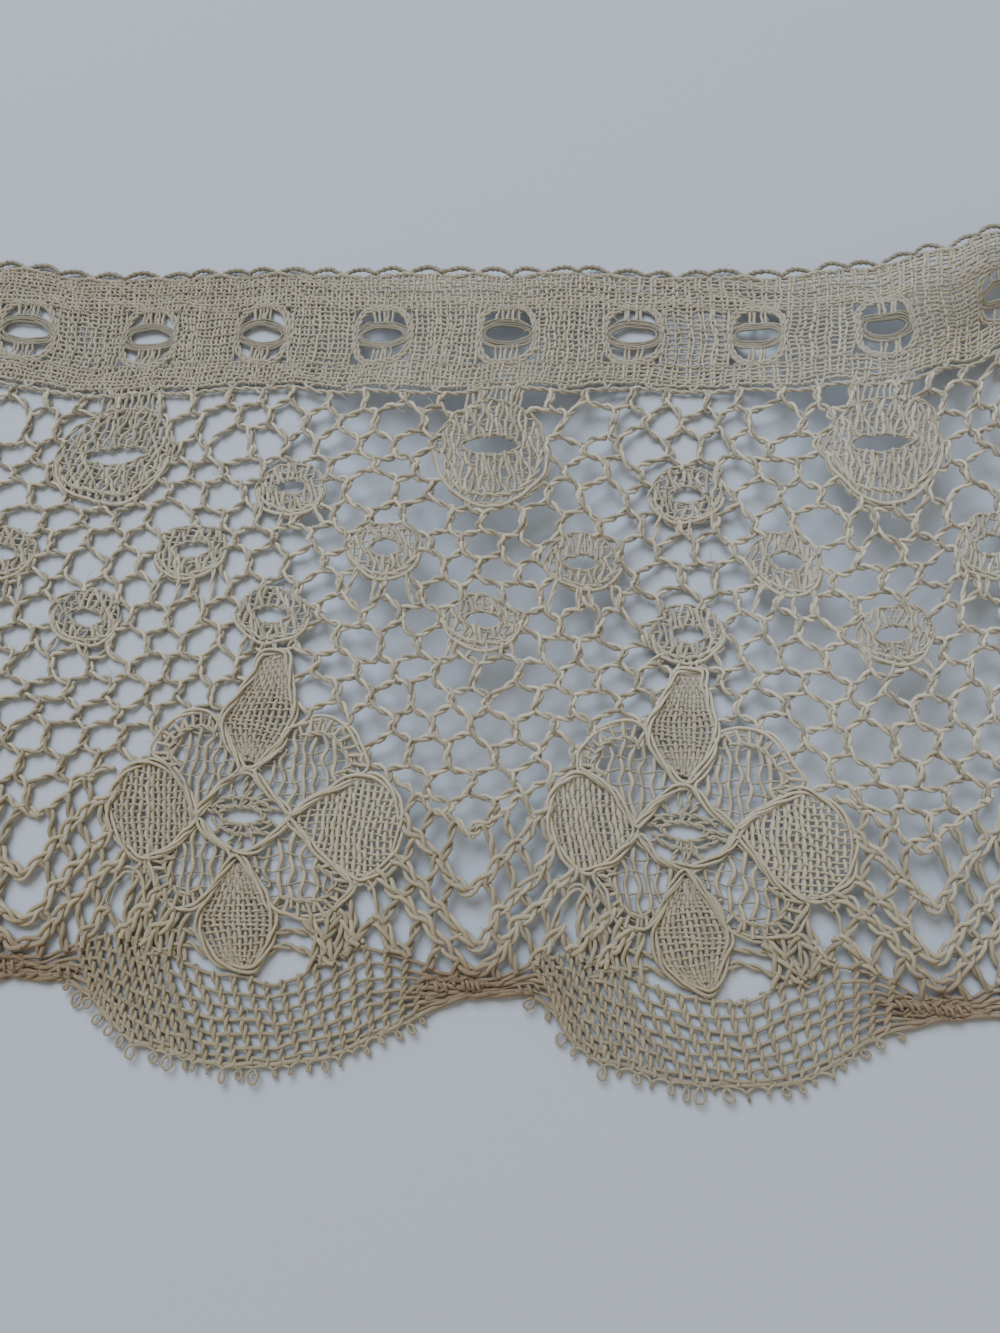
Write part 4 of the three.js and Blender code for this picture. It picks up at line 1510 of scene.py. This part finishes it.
class LACE_OT_rings(bpy.types.Operator):
    """Work the big rings and the rows of spots into the net"""

    bl_idname = "lace.rings"
    bl_label = "Work the rings and spots"

    def execute(self, context):
        return work_band(context, "rings", ring_and_spot_strands, 2)


class LACE_OT_flowers(bpy.types.Operator):
    """Work the flowers, their dense and open petals and their outlines"""

    bl_idname = "lace.flowers"
    bl_label = "Work the flowers"

    def execute(self, context):
        return work_band(context, "flowers", flower_strands, 3)


class LACE_OT_border(bpy.types.Operator):
    """Plait the border ground between the flowers"""

    bl_idname = "lace.border"
    bl_label = "Plait the border"

    def execute(self, context):
        return work_band(context, "border", border_strands, 4)


class LACE_OT_scallops(bpy.types.Operator):
    """Work the scalloped band and its picots"""

    bl_idname = "lace.scallops"
    bl_label = "Work the scallops"

    def execute(self, context):
        return work_band(context, "scallops", scallop_strands, 5)


class LACE_OT_sections(bpy.types.Operator):
    """Join the threads of each half repeat into one piece that stands for the solid"""

    bl_idname = "lace.sections"
    bl_label = "Join the sections"

    def execute(self, context):
        for number in range(REPEATS * SECTIONS_PER_REPEAT):
            outline = joined(number, True, f"lace_outlines_{number + 1}")
            ground = joined(number, False, f"lace_section_{number + 1}")
        return {"FINISHED"}


def joined(number, is_raised, name):
    """One piece made of all the drafts of a section, its ground or what lies on it."""
    drafts = [
        draft for draft in bpy.context.scene.objects
        if draft.get("section") == number and draft["raised"] == is_raised
    ]
    with bpy.context.temp_override(
        active_object=drafts[0], object=drafts[0], selected_objects=drafts, selected_editable_objects=drafts
    ):
        bpy.ops.object.join()
    piece = drafts[0]
    piece.name = name
    piece.data.name = name
    del piece["section"]
    del piece["raised"]
    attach(piece, BODY)
    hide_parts(NODE)
    return piece


class LACE_OT_stage(bpy.types.Operator):
    """Set the pale surface, the soft light from above the heading and the camera"""

    bl_idname = "lace.stage"
    bl_label = "Set the stage"

    def execute(self, context):
        make_surface()
        make_light("Window light", place=(-0.28, 0.5, 0.7), size=0.6, watts=7.4, colour="#ECF4FF")
        make_light("Fill light", place=(0.1, -0.6, 0.7), size=0.9, watts=0.6, colour="#FFFFFF")
        make_world()
        make_camera()
        return {"FINISHED"}


def make_surface():
    """The plain floor, far wider than the lace."""
    half = 1.5
    mesh = bpy.data.meshes.new("surface")
    around = [(-half, -half, 0), (half, -half, 0), (half, half, 0), (-half, half, 0)]
    mesh.from_pydata(around, [], [(0, 1, 2, 3)])
    mesh.materials.append(surface_material())
    surface = bpy.data.objects.new("surface", mesh)
    bpy.context.scene.collection.objects.link(surface)


def make_light(name, place, size, watts, colour):
    """A square area light that faces the lace."""
    data = bpy.data.lights.new(name, "AREA")
    data.size = size
    data.energy = watts
    data.color = linear(colour)[:3]
    light = bpy.data.objects.new(name, data)
    light.location = place
    light.rotation_mode = "QUATERNION"
    light.rotation_quaternion = (-Vector(place)).to_track_quat("-Z", "Y")
    bpy.context.scene.collection.objects.link(light)


def make_world():
    """Warm light from all round, in front of a plain pale backdrop."""
    world = bpy.data.worlds.new("Pale room")
    world.use_nodes = True
    tree = world.node_tree
    room = tree.nodes["Background"]
    set_inputs(tree, room, {"Color": linear("#F3DFC0"), "Strength": 0.37})
    backdrop = add_node(tree, "ShaderNodeBackground", inputs={"Color": linear("#CDD3DA"), "Strength": 0.6})
    rays = add_node(tree, "ShaderNodeLightPath")
    seen = add_node(tree, "ShaderNodeMixShader", inputs={
        0: rays.outputs["Is Camera Ray"], 1: room.outputs[0], 2: backdrop.outputs[0],
    })
    set_inputs(tree, tree.nodes["World Output"], {"Surface": seen.outputs[0]})
    bpy.context.scene.world = world


def make_camera():
    """The camera that sees the lace as the photograph does."""
    tilt = math.radians(VIEW_TILT)
    middle = Vector(VIEW_MIDDLE) * MM
    back = Vector((0, -math.sin(tilt), math.cos(tilt)))
    data = bpy.data.cameras.new("Camera")
    data.sensor_width = SENSOR
    data.lens = SENSOR * FOCAL_PIXELS / FRAME_PIXELS
    data.clip_start = 0.005
    data.clip_end = 20
    camera = bpy.data.objects.new("Camera", data)
    camera.location = middle + back * VIEW_DISTANCE * MM
    camera.rotation_mode = "QUATERNION"
    camera.rotation_quaternion = (-back).to_track_quat("-Z", "Y")
    bpy.context.scene.collection.objects.link(camera)
    bpy.context.scene.camera = camera


STEPS = (
    LACE_OT_stage, LACE_OT_heading, LACE_OT_net, LACE_OT_rings, LACE_OT_flowers,
    LACE_OT_border, LACE_OT_scallops, LACE_OT_sections,
)


class LACE_PT_panel(bpy.types.Panel):
    """The steps of the lace in the 3D view's sidebar"""

    bl_idname = "LACE_PT_panel"
    bl_label = "Lace edging"
    bl_space_type = "VIEW_3D"
    bl_region_type = "UI"
    bl_category = "Lace"

    def draw(self, context):
        for group in (context.scene.lace_sizes, context.scene.lace_colours):
            for name in group.__annotations__:
                self.layout.prop(group, name)
        for step in STEPS:
            self.layout.operator(step.bl_idname)


CLASSES = (LaceSizes, LaceColours, *STEPS, LACE_PT_panel)


def register():
    for item in CLASSES:
        bpy.utils.register_class(item)
    bpy.types.Scene.lace_sizes = bpy.props.PointerProperty(type=LaceSizes)
    bpy.types.Scene.lace_colours = bpy.props.PointerProperty(type=LaceColours)


def unregister():
    del bpy.types.Scene.lace_colours
    del bpy.types.Scene.lace_sizes
    for item in reversed(CLASSES):
        bpy.utils.unregister_class(item)


def main():
    """Registers the add-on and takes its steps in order."""
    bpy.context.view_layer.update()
    register()
    for step in STEPS:
        group, name = step.bl_idname.split(".")
        getattr(getattr(bpy.ops, group), name)()


if __name__ == "__main__":
    main()
